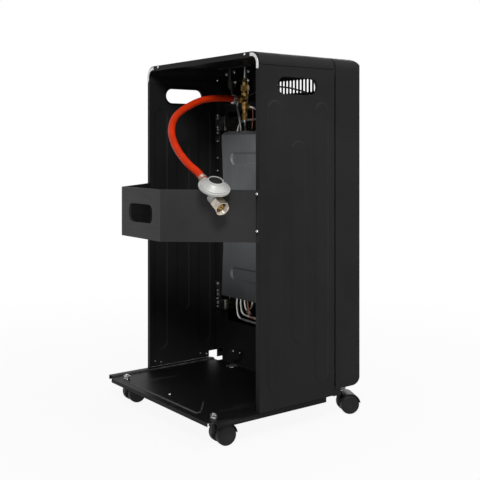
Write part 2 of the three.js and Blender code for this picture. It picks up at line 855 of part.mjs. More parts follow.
function reflector() {
  const rimFront = -reflectorRimDepth;
  const back = -reflectorBack;
  const rectangle = (width, height) => roundedBox(0, burnerLevel, width, height, reflectorRadius);
  const dish = (grow, y0, y1) => layAlongY(loft([
    { points: rectangle(reflectorBackWidth + grow, reflectorBackHeight + grow), at: -y0 },
    { points: rectangle(reflectorRimWidth + grow, reflectorRimHeight + grow), at: -y1 },
  ]));
  const rim = alongY(rectangle(2 * cheekHalf, reflectorRimHeight + 24), rimFront, rimFront + sheet);
  const flare = cut(join(dish(0, back, rimFront), rim), dish(-2 * sheet, back - sheet, rimFront - 0.5));
  const openings = burnerXs.map((x) => alongY(
    roundedBox(x, burnerLevel, reflectorOpeningWidth, reflectorOpeningHeight, 4, 2),
    back - 10, back + 10,
  ));
  const pilotPort = alongY(circle(pilotX, pilotLevel + 10, pilotPortRadius), back - 12, back + 10);
  const postFace = -dividerDepth + postHeight + clearance;
  const straps = [-1, 1].flatMap((side) => {
    const span = (a, b) => [Math.min(side * a, side * b), Math.max(side * a, side * b)];
    const strip = (a, b, y0, y1, z0, z1) => block(...span(a, b), y0, y1, z0, z1);
    const inner = cheekHalf - sheet;
    const armFoot = cheekTop - upperArmHeight;
    return [
      strip(inner, cheekHalf, rimFront, -dividerDepth - sheet - 2, cheekBottom, cheekTop),
      strip(inner, cheekHalf, rimFront, postFace + sheet, armFoot, cheekTop),
      strip(inner, cheekHalf, rimFront, postFace + sheet, cheekBottom, cheekBottom + armHeight),
      strip(inner, earOuter, postFace, postFace + sheet, armFoot, cheekTop),
      strip(inner, earOuter, postFace, postFace + sheet, cheekBottom, cheekBottom + armHeight),
      strip(earInner, earOuter, postFace, postFace + sheet, upperEarBottom, upperEarBottom + earLength),
      strip(earInner, earOuter, postFace, postFace + sheet, lowerEarBottom, lowerEarBottom + earLength),
    ];
  });
  return cut(join(flare, ...straps), pilotPort, ...openings);
}

function guardGrille() {
  const depth = frontFaceDepth - sheet - clearance - guardWire;
  const stayFront = -depth + guardWire * 0.6;
  const bottom = windowBottom - guardOverlap;
  const top = windowTop + guardOverlap;
  const reach = windowWidth / 2 + guardOverlap;
  const rows = Math.floor((top - bottom - 8) / guardPitch);
  const first = (top + bottom) / 2 - (rows * guardPitch) / 2;
  const wires = Array.from({ length: rows + 1 }, (_, i) => alongX(
    circle(-depth, first + i * guardPitch, guardWire, 4), -reach, reach));
  const strips = Array.from({ length: guardStays + 2 }, (_, i) => reach * ((2 * i) / (guardStays + 1) - 1));
  const stays = strips.map((x) => block(x - guardStay, x + guardStay, stayFront,
    stayFront + guardWire, bottom, top));
  const rails = [bottom, top].map((z) => block(-reach - guardStay, reach + guardStay, stayFront,
    stayFront + guardWire, z - guardStay, z + guardStay));
  return join(...wires, ...stays, ...rails);
}

function pilotBurner() {
  const head = rod(5, pilotLevel, pilotLevel + 16, 12).translate(pilotX, -pilotDepth, 0);
  const nozzle = alongY(circle(pilotX, pilotLevel + 10, pilotPortRadius - 1, 8), -reflectorBack - 5,
    -pilotDepth);
  const electrode = alongZ(circle(pilotX - 12, -pilotDepth, 3, 8), pilotLevel - 6, pilotLevel + 20);
  const bridge = block(pilotX - 16, pilotX + 8, -pilotDepth - 2, -pilotDepth + 2, pilotLevel, pilotLevel + 3);
  return join(head, nozzle, electrode, bridge);
}

// ---------------------------------------------------------------- controls and gas train

const panelTop = cabinetTop + clearance + controlPanelRise;

function controlPanel() {
  const cover = cabinetTop + clearance;
  const width = controlPanelWidth;
  const length = controlPanelLength;
  const plate = loft([
    { points: roundedBox(controlPanelX, -valveDepth, width, length, controlPanelRadius), at: cover },
    { points: roundedBox(controlPanelX, -valveDepth, width, length, controlPanelRadius),
      at: panelTop - 0.8 },
    { points: roundedBox(controlPanelX, -valveDepth, width - 2, length - 2, controlPanelRadius - 1),
      at: panelTop },
  ]);
  const wallGap = 2 * controlPanelLip + 2 + 2 * clearance;
  const well = alongZ(roundedBox(controlPanelX, -valveDepth, width - wallGap, length - wallGap,
    controlPanelRadius), cover - controlPanelWell, cover + 0.1);
  const hollow = alongZ(roundedBox(controlPanelX, -valveDepth, width - wallGap - 4, length - wallGap - 4,
    controlPanelRadius - 2), cover - controlPanelWell - 1, cover - 0.2);
  const spindleHole = alongZ(circle(valveX, -valveDepth, spindleRadius + 1), cover - 20, panelTop + 5);
  const igniterHole = alongZ(circle(igniterX, -valveDepth, igniterBodyRadius + 2 * clearance, 16),
    cover - 20, panelTop + 5);
  return cut(join(plate, cut(well, hollow)), spindleHole, igniterHole);
}

function valveSpindle() {
  const top = panelTop + knobGap + knobBoreDepth - clearance - buttonTravel;
  const shaft = rod(spindleRadius, spindleFoot, top, 16);
  const flat = block(spindleRadius - spindleFlat, 10, -10, 10, panelTop, top + 1);
  return cut(shaft, flat).translate(valveX, -valveDepth, 0);
}

function controlKnob() {
  const bottom = panelTop + knobGap;
  const body = revolve([
    [0, bottom],
    [knobSkirtRadius, bottom],
    [knobSkirtRadius, bottom + knobSkirtHeight * 0.6],
    [knobSkirtRadius - 2, bottom + knobSkirtHeight],
    [knobGripRadius, bottom + knobSkirtHeight + 1],
    [knobGripRadius - 1, bottom + knobHeight - 1.5],
    [knobGripRadius - 2.5, bottom + knobHeight],
    [0, bottom + knobHeight],
  ]);
  const flutes = Array.from({ length: knobFlutes }, (_, i) => {
    const angle = degrees((360 * (i + 0.5)) / knobFlutes);
    const reach = knobGripRadius + knobFluteRadius * 0.4;
    return alongZ(circle(reach * Math.cos(angle), reach * Math.sin(angle), knobFluteRadius, 5),
      bottom + knobSkirtHeight + 2, bottom + knobHeight + 1);
  });
  const pointer = block(-1.2, 1.2, 4, knobGripRadius + 2, bottom + knobSkirtHeight, bottom + knobHeight + 1);
  const round = rod(spindleRadius + clearance, bottom - 1, bottom + knobBoreDepth, 16);
  const bore = cut(round, block(spindleRadius - spindleFlat + clearance, 10, -10, 10, bottom - 2,
    bottom + knobBoreDepth + 1));
  return cut(join(cut(body, ...flutes), pointer), bore).translate(valveX, -valveDepth, 0);
}

function piezoIgniter() {
  const cupFloor = panelTop - buttonSink - buttonTravel - 2;
  return revolve([
    [0, igniterBodyBottom],
    [igniterBodyRadius - 3, igniterBodyBottom],
    [igniterBodyRadius - 1, igniterBodyBottom + 8],
    [igniterBodyRadius, igniterBodyBottom + 9],
    [igniterBodyRadius, panelTop + clearance],
    [igniterCollarRadius, panelTop + clearance],
    [igniterCollarRadius, panelTop + 1.6],
    [igniterCollarRadius - 1, panelTop + 2.4],
    [buttonRadius + clearance, panelTop + 2.4],
    [buttonRadius + clearance, cupFloor],
    [0, cupFloor],
  ], 14).translate(igniterX, -valveDepth, 0);
}

function igniterButton() {
  const bottom = panelTop - buttonSink;
  const top = panelTop + 2.4 + buttonTravel;
  return revolve([
    [0, bottom],
    [buttonRadius, bottom],
    [buttonRadius, top - 1.5],
    [buttonRadius - 1.5, top],
    [0, top - 0.6],
  ], 16).translate(igniterX, -valveDepth, 0);
}

function gasValve() {
  const body = revolve([
    [0, valveFootBottom],
    [valveFootRadius, valveFootBottom],
    [valveFootRadius, valveBodyBottom],
    [valveBodyRadius, valveBodyBottom + 3],
    [valveBodyRadius, valveBodyTop],
    [valveBonnetRadius, valveBodyTop + 2],
    [valveBonnetRadius, valveBonnetTop],
    [valveNeckRadius, valveBonnetTop],
    [valveNeckRadius, bracketLevel + sheet + 6],
    [0, bracketLevel + sheet + 6],
  ], 12);
  const bonnetHex = alongZ(circle(0, 0, valveBonnetRadius * 1.25, 6), valveBodyTop + 4, valveBonnetTop - 4);
  const inlet = layAlongY(revolve([
    [0, 0],
    [valveInletRadius + 2, 0],
    [valveInletRadius + 2, -valveInletReach + 8],
    [valveInletRadius, -valveInletReach + 7],
    [valveInletRadius, -valveInletReach],
    [0, -valveInletReach],
  ], 12)).translate(0, 0, valveInletLevel);
  const outletX = (z) => alongX(circle(0, z, valveOutletRadius, 10), 0, valveOutletReach);
  const outletDown = rod(valveOutletRadius, valveFootBottom - 6, valveFootBottom + 1, 10);
  const outletLeft = alongX(circle(0, valveOutletLevels[1], valveOutletRadius, 10), -valveOutletReach, 0);
  const bore = rod(spindleRadius + clearance, spindleFoot - clearance, cabinetTop, 16);
  return cut(
    join(body, bonnetHex, inlet, outletX(valveOutletLevels[0]), outletLeft, outletDown),
    bore,
  ).translate(valveX, -valveDepth, 0);
}

const valveOutletLevels = [672, 657];

function valveBracket() {
  const y0 = -valveDepth - bracketLength / 2;
  const y1 = -valveDepth + bracketLength / 2;
  const under = cabinetTop - 0.2;
  const path = [
    [bracketLeft - bracketEar, under - sheet],
    [bracketLeft, under - sheet],
    [bracketLeft, bracketLevel],
    [bracketRight, bracketLevel],
    [bracketRight, under - sheet],
    [bracketRight + bracketEar, under - sheet],
  ];
  const strap = alongY(ribbon(path, sheet), y0, y1);
  const tail = block(bracketLeft, bracketLeft + sheet, y0, -valveDepth, bracketLevel - bracketTail,
    bracketLevel + 1);
  const neckHole = alongZ(circle(valveX, -valveDepth, valveNeckRadius + clearance),
    bracketLevel - 5, bracketLevel + 5);
  return cut(join(strap, tail), neckHole);
}

// Each gas pipe leaves the valve, drops behind the shield and hooks up under one burner's bell.
const bellY = -burnerBodyBack - burnerBodyThickness / 2 + 1;
const bellMouth = mixingTubeBottom - 4;

function pipeRoute(start, column, run, target) {
  const down = -pipeRunDepth;
  return [
    ...start,
    [column, down, 600],
    [column, down, 500],
    [column, down, 350],
    [column, down, 220],
    [column, down, run + 14],
    [column - Math.sign(column - target) * 5, down - 1, run + 4],
    [column - Math.sign(column - target) * 16, down - 3, run],
    [target + Math.sign(column - target) * 18, bellY, run],
    [target + Math.sign(column - target) * 5, bellY, run + 5],
    [target, bellY, run + 16],
    [target, bellY, bellMouth],
  ];
}

function gasPipes() {
  const sideX = valveX + valveOutletReach + clearance;
  const level = valveOutletLevels;
  const starts = [
    [[valveX, -valveDepth, valveFootBottom - 6 - 2 * clearance], [valveX, -valveDepth, 624],
      [62, -172, 618], [80, -188, 616], [94, -200, 613]],
    [[sideX + clearance, -valveDepth, level[0]], [sideX + 5, -valveDepth, level[0]],
      [sideX + 16, -valveDepth - 4, level[0] - 10], [108, -190, 636]],
    [[valveX - valveOutletReach - 2 * clearance, -valveDepth, level[1]],
      [valveX - valveOutletReach - 5, -valveDepth, level[1]],
      [24, -174, 652], [28, -190, 640], [50, -202, 632], [100, -203, 628], [122, -203, 622]],
  ];
  const targets = [burnerXs[2], burnerXs[1], burnerXs[0]];
  const runs = [178, 168, 157];
  const steps = [20, 24, 30];
  return starts.map((start, i) => tube(pipeRoute(start, pipeColumns[i], runs[i], targets[i]),
    gasPipeRadius, steps[i], 4));
}

function pilotPipe() {
  const down = -pipeRunDepth + 2;
  return tube([
    [valveX, -valveDepth - valveBodyRadius - clearance, 662],
    [valveX, -valveDepth - valveBodyRadius - 4, 662],
    [56, -189, 652],
    [61, -194, 632],
    [67, -197, 616],
    [76, -203, 600],
    [pilotColumn - 2, down - 4, 578],
    [pilotColumn, down - 3, 550],
    [pilotColumn, down, 450],
    [pilotColumn, down, 300],
    [pilotColumn, down, 190],
    [pilotColumn - 6, down, 170],
    [pilotColumn - 22, down, 166],
    [0, down, 166],
    [pilotX + 20, down - 4, 168],
    [pilotX + 5, down - 12, 176],
    [pilotX, -pilotDepth, 200],
    [pilotX, -pilotDepth, 240],
    [pilotX, -pilotDepth, pilotLevel - clearance],
  ], pilotPipeRadius, 28, 4);
}

function ignitionLead() {
  return tube([
    [igniterX, -valveDepth, igniterBodyBottom - clearance],
    [igniterX - 1, -valveDepth - 1, 690],
    [igniterX - 14, -192, 684],
    [60, -204, 694],
    [20, -206, 703],
    [-30, -206, 700],
    [-80, -206, 691],
    [-122, -206, 677],
    [-146, -206, 650],
    [-150, -206, 600],
    [-150, -206, 480],
    [-150, -206, 340],
    [-146, -206, 262],
    [-122, -206, 240],
    [-90, -206, 236],
    [-72, -212, 238],
    [pilotX - 14, -pilotDepth + 2, 246],
    [pilotX - 12, -pilotDepth, 260],
    [pilotX - 12, -pilotDepth, pilotLevel - 6 - clearance],
  ], leadRadius, 32, 4);
}

function tiltSwitch() {
  const back = -dividerDepth + clearance;
  const middle = tiltSwitchBottom + tiltSwitchHeight / 2;
  const housing = layAlongY(loft([
    { points: roundedBox(0, middle, tiltSwitchWidth - 6, tiltSwitchHeight, 3, 2), at: 0 },
    { points: roundedBox(0, middle, tiltSwitchWidth - 8, tiltSwitchHeight - 2, 2, 2),
      at: -tiltSwitchReach },
  ])).translate(0, back, 0);
  const plate = alongY(roundedBox(0, middle - 3, tiltSwitchWidth + 6, 10, 3, 2), back, back + 1.5);
  const terminal = alongZ(box(-2, 2, back + 3, back + 6), middle, middle + tiltSwitchHeight / 2 + 4);
  return join(housing, plate, terminal).translate(tiltSwitchX, 0, 0);
}

// ---------------------------------------------------------------- hose and regulator

// The regulator hangs outside the retainer; its cap leans up and out, its inlet points down and out.
const regulatorPlace = new THREE.Vector3(-171.5, 79, 489);
const regulatorUp = new THREE.Vector3(-0.477, 0.104, 0.863).normalize();
const regulatorSide = new THREE.Vector3().crossVectors(regulatorUp,
  new THREE.Vector3(-0.862, 0.066, -0.485)).normalize();
const regulatorInlet = new THREE.Vector3().crossVectors(regulatorSide, regulatorUp);
const regulatorTurn = new THREE.Matrix4().makeBasis(regulatorInlet, regulatorSide, regulatorUp);

// Where the hose ends, just short of the regulator's outlet, and the straight run before it.
const hoseEnd = regulatorPlace.clone()
  .addScaledVector(regulatorUp, -regulatorOutletDrop)
  .addScaledVector(regulatorInlet, -regulatorOutletReach - clearance);
const hoseRun = (back) => hoseEnd.clone().addScaledVector(regulatorInlet, -back).toArray();

const hoseStart = [valveX, -valveDepth + valveInletReach + clearance, valveInletLevel];
const hoseRoute = [
  hoseStart,
  [53, -126, 675],
  [53, -98, 675],
  [53, -70, 673],
  [51, -42, 667.5],
  [48, -12, 656],
  [42, 16, 642],
  [33, 38, 626],
  [21, 52, 609],
  [6, 62, 593],
  [-11, 68, 577],
  [-31, 72, 561],
  [-54, 75, 546],
  [-78, 76.5, 532],
  hoseRun(26),
  hoseRun(13),
  hoseEnd.toArray(),
];

function regulatorBody() {
  const flange = regulatorFlangeRadius;
  const bowl = revolve([
    [0, -clearance],
    [flange - 0.8, -clearance],
    [flange, -1],
    [flange - 0.5, -regulatorFlangeHeight],
    [flange - 7, -regulatorFlangeHeight - 1.5],
    [regulatorBowlRadius + 3, -regulatorFlangeHeight - 5],
    [regulatorBowlRadius, -regulatorFlangeHeight - 12],
    [regulatorBowlRadius - 1, -regulatorBowlHeight + 4],
    [regulatorBowlRadius - 5, -regulatorBowlHeight],
    [0, -regulatorBowlHeight],
  ]);
  const outlet = layAlongX(revolve([
    [0, -regulatorOutletReach],
    [regulatorOutletRadius, -regulatorOutletReach],
    [regulatorOutletRadius, -regulatorBowlRadius - 12],
    [regulatorOutletRadius + 1, -regulatorBowlRadius - 9],
    [regulatorOutletRadius + 1, 0],
    [0, 0],
  ], 14)).translate(0, 0, -regulatorOutletDrop);
  const inlet = layAlongX(revolve([
    [0, 0],
    [inletBossRadius + 2, 0],
    [inletBossRadius + 1, regulatorBowlRadius],
    [inletBossRadius - 1, inletBossReach],
    [0, inletBossReach],
  ], 14)).translate(0, 0, -regulatorInletDrop);
  return join(bowl, outlet, inlet);
}

function regulatorCover() {
  const top = regulatorCoverHeight;
  return revolve([
    [0, 0],
    [regulatorFlangeRadius - 0.8, 0],
    [regulatorFlangeRadius, 0.8],
    [regulatorFlangeRadius - 0.6, 2.4],
    [regulatorFlangeRadius - 6, 5.2],
    [regulatorRimRadius + 4, top - 6],
    [regulatorRimRadius + 0.6, top - 3.5],
    [regulatorRimRadius, top - 0.6],
    [regulatorRimRadius - 0.8, top],
    [regulatorCapRadius + 0.6, top],
    [regulatorCapRadius + clearance, top - 0.8],
    [regulatorCapRadius + clearance, top - 5],
    [0, top - 5],
  ]);
}

function regulatorCap() {
  const top = regulatorCoverHeight - 1;
  const slot = block(-1, 1, -6, 6, top - 1.5, top + 1);
  return cut(revolve([
    [0, top - 3.7],
    [regulatorCapRadius, top - 3.7],
    [regulatorCapRadius, top - 0.8],
    [regulatorCapRadius - 0.8, top],
    [0, top],
  ], 24), slot);
}

// The brass inlet stem carries the union nut between the boss and its collar.
function inletStem() {
  const start = inletBossReach + clearance;
  const nutBack = start + 0.5;
  const collar = nutBack + nutBackWall + clearance;
  return layAlongX(revolve([
    [0, start],
    [inletStemRadius, start],
    [inletStemRadius, collar],
    [inletStemRadius + 3, collar],
    [inletStemRadius + 3, collar + 4],
    [inletStemRadius + 1, collar + 9],
    [inletStemRadius - 2, collar + 11],
    [1.6, collar + 11],
    [1.6, collar + 3],
    [0, collar + 3],
  ], 12)).translate(0, 0, -regulatorInletDrop);
}

function unionNut() {
  const back = inletBossReach + clearance + 0.5;
  const front = back + nutLength;
  const corner = nutAcrossFlats / Math.sqrt(3);
  const hex = layAlongX(prism(circle(0, 0, corner, 6), nutLength)).translate(back, 0, 0);
  const turned = layAlongX(revolve([
    [0, back],
    [corner - 1.6, back],
    [corner, back + 1.6],
    [corner, front - 1.6],
    [corner - 1.6, front],
    [0, front],
  ], 18));
  const bores = layAlongX(revolve([
    [0, back - 1],
    [inletStemRadius + clearance, back - 1],
    [inletStemRadius + clearance, back + nutBackWall],
    [nutThreadRadius, back + nutBackWall],
    [nutThreadRadius, front - 1],
    [nutThreadRadius + 1, front + 0.1],
    [nutThreadRadius + 1, front + 1],
    [0, front + 1],
  ], 16));
  return cut(common(hex, turned), bores).translate(0, 0, -regulatorInletDrop);
}

// A worm-drive hose clamp about the hose's end, drawn along Z from its near edge.
function hoseClamp() {
  const ring = revolve([
    [hoseRadius + clearance, 0],
    [clampRadius, 0],
    [clampRadius, clampLength],
    [hoseRadius + clearance, clampLength],
    [hoseRadius + clearance, 0],
  ], 16);
  const screw = layAlongX(rod(2.8, -6, 6, 8)).translate(0, clampRadius + 1.6, clampLength / 2);
  const bore = rod(hoseRadius + clearance, -1, clampLength + 1, 16);
  return cut(join(ring, screw), bore);
}

// ---------------------------------------------------------------- bottle retainer

function bottleRetainer() {
  const flangeFace = clearance;
  const path = [
    [-retainerFlangeHalf, flangeFace],
    [-retainerFootHalf, flangeFace],
    [-retainerFaceHalf, retainerReach - sheet],
    [retainerFaceHalf, retainerReach - sheet],
    [retainerFootHalf, flangeFace],
    [retainerFlangeHalf, flangeFace],
  ];
  const wall = alongZ(ribbon(path, sheet), retainerBottom, retainerTop);
  const hems = [
    [retainerTop - retainerHem, retainerTop],
    [retainerBottom, retainerBottom + retainerHem],
  ].map(([z0, z1]) => block(-retainerFaceHalf + 4, retainerFaceHalf - 4, retainerReach - 2 * sheet,
    retainerReach - sheet / 2, z0, z1));
  const level = (retainerBottom + retainerTop) / 2;
  const lip = alongY(roundedBox(0, level, handSlotLength + 2 * sheet, handSlotHeight + 2 * sheet,
    handSlotRadius + sheet), retainerReach - 5, retainerReach - sheet / 2);
  const slot = alongY(roundedBox(0, level, handSlotLength, handSlotHeight, handSlotRadius),
    retainerReach - 20, retainerReach + 20);
  const keyholes = [-1, 1].flatMap((side) => studLevels.flatMap((z) => {
    const x = side * studX;
    const slotHalf = studShankRadius + clearance;
    return [
      alongY(circle(x, z - keyholeLift, studHeadRadius + clearance, 8), -5, 5),
      alongY(box(x - slotHalf, x + slotHalf, z - keyholeLift, z), -5, 5),
      alongY(circle(x, z, slotHalf, 8), -5, 5),
    ];
  }));
  return cut(join(wall, ...hems, lip), slot, ...keyholes);
}

// ---------------------------------------------------------------- casters

// Where each caster's stem stands, and how far its wheels have swung from trailing straight forward.
const casterPlaces = [
  [-casterX, rearCasterY, -7],
  [casterX, rearCasterY, -4],
  [-casterX, frontCasterY, -25.5],
  [casterX, frontCasterY, 12],
];

// A caster is drawn with its stem on the Z axis and its wheels trailing towards -Y.
function casterStem() {
  const lower = basePlateTop - basePlateSheet;
  return revolve([
    [0, stemFoot],
    [stemRadius, stemFoot],
    [stemRadius, lower - clearance - stemCollarHeight],
    [stemCollarRadius, lower - clearance - stemCollarHeight],
    [stemCollarRadius, lower - clearance],
    [stemRadius, lower - clearance],
    [stemRadius, basePlateTop + clearance],
    [nutRadius, basePlateTop + clearance],
    [nutRadius, basePlateTop + clearance + nutHeight],
    [stemRadius, basePlateTop + clearance + nutHeight],
    [stemRadius, basePlateTop + clearance + boltEnd],
    [0, basePlateTop + clearance + boltEnd],
  ], 8);
}

function casterHood() {
  const webHalf = wheelSpan / 2 - wheelWidth - clearance;
  const inner = hoodRadius - hoodThickness;
  const at = ([a, b]) => [a - casterTrail, b + wheelRadius];
  const ring = (radius, from, to, steps) => arc(0, 0, radius, from, to, steps).map(at);
  const cover = [
    ...ring(hoodRadius, hoodFrontAngle, hoodBackAngle, hoodSteps),
    ...ring(inner, hoodBackAngle, hoodFrontAngle, hoodSteps),
  ];
  const web = [
    ...ring(inner + 0.4, hoodFrontAngle, hoodBackAngle, hoodSteps),
    ...ring(10, 200, 380, 4),
  ];
  const shell = join(
    alongX(cover, -wheelSpan / 2, wheelSpan / 2),
    alongX(web, -webHalf, webHalf),
    rod(socketRadius, stemFoot - 4, basePlateTop - basePlateSheet - stemCollarHeight - 2 * clearance),
  );
  const stemBore = rod(stemRadius + clearance, stemFoot - clearance, basePlateTop, 8);
  const axleBore = alongX(circle(-casterTrail, wheelRadius, axleRadius + clearance, 8), -wheelSpan, wheelSpan);
  return cut(shell, stemBore, axleBore);
}

function casterAxle() {
  const reach = wheelSpan / 2 - axleInset;
  return alongX(circle(-casterTrail, wheelRadius, axleRadius, 8), -reach, reach);
}

// A wheel turns about X; its closed, domed face is on the +X side.
function casterWheel() {
  const inside = wheelSpan / 2 - wheelWidth;
  const outside = wheelSpan / 2;
  const boreEnd = outside - axleInset + clearance;
  return layAlongX(revolve([
    [0, boreEnd],
    [wheelHubRadius, boreEnd],
    [wheelHubRadius, inside],
    [wheelRadius - 2, inside],
    [wheelRadius, inside + 2],
    [wheelRadius, outside - 2.4],
    [wheelRadius - 1.6, outside - 0.4],
    [wheelRadius - 5, outside],
    [0, outside],
  ], 14)).translate(0, -casterTrail, wheelRadius);
}

// ---------------------------------------------------------------- assembly

const heater = new THREE.Group();

function add(name, geometry, material, parent = heater) {
  const mesh = new THREE.Mesh(weld(geometry), material);
  mesh.name = name;
  mesh.geometry.computeVertexNormals();
  parent.add(mesh);
  return mesh;
}

add('base_plate', basePlate(), blackPaint);
add('side_panel_left', flipped(sidePanel()), blackPaint);
add('side_panel_right', notchedPanel(), blackPaint);
add('top_cover', topCover(), blackPaint);
add('front_shell', frontShell(), blackPaint);
add('divider_panel', dividerPanel(), blackPaint);
add('heat_shield', heatShield(), shieldSteel);
add('corner_bracket_left', flipped(cornerBracket()), zincSteel);
add('corner_bracket_right', cornerBracket(), zincSteel);

add('burner_reflector', reflector(), reflectorSteel);
burnerXs.forEach((x, i) => {
  add(`burner_body_${i + 1}`, burnerBody(), zincSteel).position.x = x;
  add(`ceramic_plaque_${i + 1}`, plaque(), ceramic).position.x = x;
});
add('guard_grille', guardGrille(), guardSteel);
add('pilot_burner', pilotBurner(), zincSteel);

add('control_panel', controlPanel(), blackPlastic);
add('control_knob', controlKnob(), blackPlastic);
add('valve_spindle', valveSpindle(), zincSteel);
add('piezo_igniter', piezoIgniter(), blackPlastic);
add('igniter_button', igniterButton(), blackPlastic);
add('gas_valve', gasValve(), brass);
add('valve_bracket', valveBracket(), zincSteel);
gasPipes().forEach((pipe, i) => add(`gas_pipe_${i + 1}`, pipe, aluminium));
add('pilot_pipe', pilotPipe(), copper);
add('ignition_lead', ignitionLead(), leadJacket);
add('tilt_switch', tiltSwitch(), blackPlastic);

add('bottle_retainer', bottleRetainer(), blackPaint);

const regulator = new THREE.Group();
regulator.quaternion.setFromRotationMatrix(regulatorTurn);
regulator.position.copy(regulatorPlace);
heater.add(regulator);
add('regulator_body', regulatorBody(), castMetal, regulator);
add('regulator_cover', regulatorCover(), castMetal, regulator);
add('regulator_cap', regulatorCap(), blackPlastic, regulator);
add('inlet_stem', inletStem(), brass, regulator);
add('union_nut', unionNut(), nickel, regulator);

const cordNames = ['gas_hose', 'hose_clamp_valve', 'hose_clamp_regulator', 'regulator_body',
  'regulator_cover', 'regulator_cap', 'inlet_stem', 'union_nut'];
add('gas_hose', tube(hoseRoute, hoseRadius, 18), orangeRubber);
const valveClamp = add('hose_clamp_valve', hoseClamp(), zincSteel);
valveClamp.rotation.x = -Math.PI / 2;
valveClamp.position.set(hoseStart[0], hoseStart[1] + 2, hoseStart[2]);
const regulatorClamp = add('hose_clamp_regulator', hoseClamp(), zincSteel, regulator);
regulatorClamp.rotation.set(0, -Math.PI / 2, 0);
regulatorClamp.position.set(-regulatorOutletReach - clearance - 2, 0, -regulatorOutletDrop);

casterPlaces.forEach(([x, y, swing], i) => {
  const caster = new THREE.Group();
  caster.position.set(x, y, 0);
  caster.rotation.z = degrees(swing);
  heater.add(caster);
  const name = `caster_${i + 1}`;
  add(`${name}_stem`, casterStem(), zincSteel, caster);
  add(`${name}_hood`, casterHood(), blackPlastic, caster);
  add(`${name}_axle`, casterAxle(), zincSteel, caster);
  add(`${name}_wheel_a`, casterWheel(), blackPlastic, caster);
  add(`${name}_wheel_b`, flipped(casterWheel()), blackPlastic, caster);
});

// The origin is on the floor, midway between the front and the back of all but the hose and regulator.
heater.updateMatrixWorld(true);
const footprint = new THREE.Box3();
heater.traverse((node) => {
  if (node.isMesh && !cordNames.includes(node.name)) footprint.expandByObject(node, true);
});
heater.position.set(0, -(footprint.min.y + footprint.max.y) / 2, -footprint.min.z);

export default heater;
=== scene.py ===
from math import copysign, cos, pi, radians, sin

import bmesh
import bpy
from bpy.props import FloatProperty, FloatVectorProperty, PointerProperty
from mathutils import Matrix, Vector


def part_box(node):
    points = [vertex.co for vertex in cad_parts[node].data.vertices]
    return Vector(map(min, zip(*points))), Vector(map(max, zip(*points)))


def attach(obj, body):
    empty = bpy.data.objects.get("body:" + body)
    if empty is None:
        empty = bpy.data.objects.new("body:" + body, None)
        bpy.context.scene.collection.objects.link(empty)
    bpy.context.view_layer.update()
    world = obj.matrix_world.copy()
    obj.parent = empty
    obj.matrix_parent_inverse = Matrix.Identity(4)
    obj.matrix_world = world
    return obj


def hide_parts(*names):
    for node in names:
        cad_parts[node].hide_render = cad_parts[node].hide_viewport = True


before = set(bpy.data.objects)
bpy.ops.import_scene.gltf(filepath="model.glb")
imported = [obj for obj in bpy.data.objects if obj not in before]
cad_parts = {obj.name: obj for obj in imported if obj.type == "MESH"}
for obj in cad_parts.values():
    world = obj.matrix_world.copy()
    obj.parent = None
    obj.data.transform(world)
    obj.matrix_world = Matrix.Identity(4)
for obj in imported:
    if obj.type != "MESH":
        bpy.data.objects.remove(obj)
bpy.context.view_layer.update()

bl_info = {
    "name": "Gas cabinet heater",
    "version": (1, 0, 0),
    "blender": (4, 5, 0),
    "location": "View3D > Sidebar > Heater",
    "description": "Gives the CAD frame of a portable gas cabinet heater its finished surfaces",
    "category": "Object",
}

# ---------------------------------------------------------------- measures
# Shapes are drawn in millimetres from the cabinet's rear plane, the middle and the floor, and are set
# into the frame's metres when a piece is finished.

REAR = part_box("top_cover")[1].y
MM = 0.001
TO_FRAME = Matrix.Translation((0, REAR, 0)) @ Matrix.Scale(MM, 4)


def span(node):
    """The lowest and highest corner of a CAD piece, in millimetres from the cabinet's rear plane."""
    low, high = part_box(node)
    shift = Vector((0, REAR, 0))
    return (low - shift) / MM, (high - shift) / MM


COVER_LOW, COVER_HIGH = span("top_cover")
PANEL_LOW = span("side_panel_left")[0]
SWITCH_LOW, SWITCH_HIGH = span("tilt_switch")
PLATE_TOP = 51.5
RAIL_RISE = 3.0
EMBOSS_HEIGHT = 1.6
HALF = COVER_HIGH.x
SHEET = 1.2
GAP = 0.3

# Side panels
PANEL_DEPTH = -COVER_LOW.y
PANEL_BOTTOM = PLATE_TOP + RAIL_RISE + GAP
PANEL_TOP = COVER_LOW.z - 4 * GAP
PANEL_FOLD = 2.5
PANEL_FLANGE = 12.0
NOTCH_DEPTH = 24.0
NOTCH_TOP = PANEL_LOW.z + 12
RIB_WIDTH = 34.0
RIB_SLOPE = 5.0
RIB_HEIGHT = 2.2
RIB_STEPS = 6
RIBS = ((-37.0, 92.0, 655.0), (-98.5, 177.0, 577.0), (-160.0, 92.0, 655.0))
HAND_HOLE_Y = -98.0
HAND_HOLE_Z = 686.0
HAND_HOLE_LENGTH = 103.0
HAND_HOLE_HEIGHT = 33.5
HAND_HOLE_ROUND = 1.6
HAND_HOLE_LIP = 8.0
SIDE_NAMES = {-1: "left", 1: "right"}
STUD_X = HALF - 5.7
STUD_LEVELS = (403.5, 475.0)

# Heat shield, and the ears that hold it to the posts
SHIELD_HALF = 169.0
SHIELD_TOP = 595.0
SHIELD_BOTTOM = 210.0
SHIELD_CREASE = 402.0
SHIELD_RIM_Y = -182.0
SHIELD_CREASE_Y = -190.0
SHIELD_BACK_Y = -193.6
SHIELD_LEAN = 8.6
SHIELD_BAND_HALF = 137.0
SHIELD_BAND_HEIGHT = 33.0
SHIELD_BAND_LEVELS = (266.5, 538.5)
SHIELD_BAND_DEPTH = 3.4
EAR_INNER = 172.0
EAR_FACE_Y = -182.5

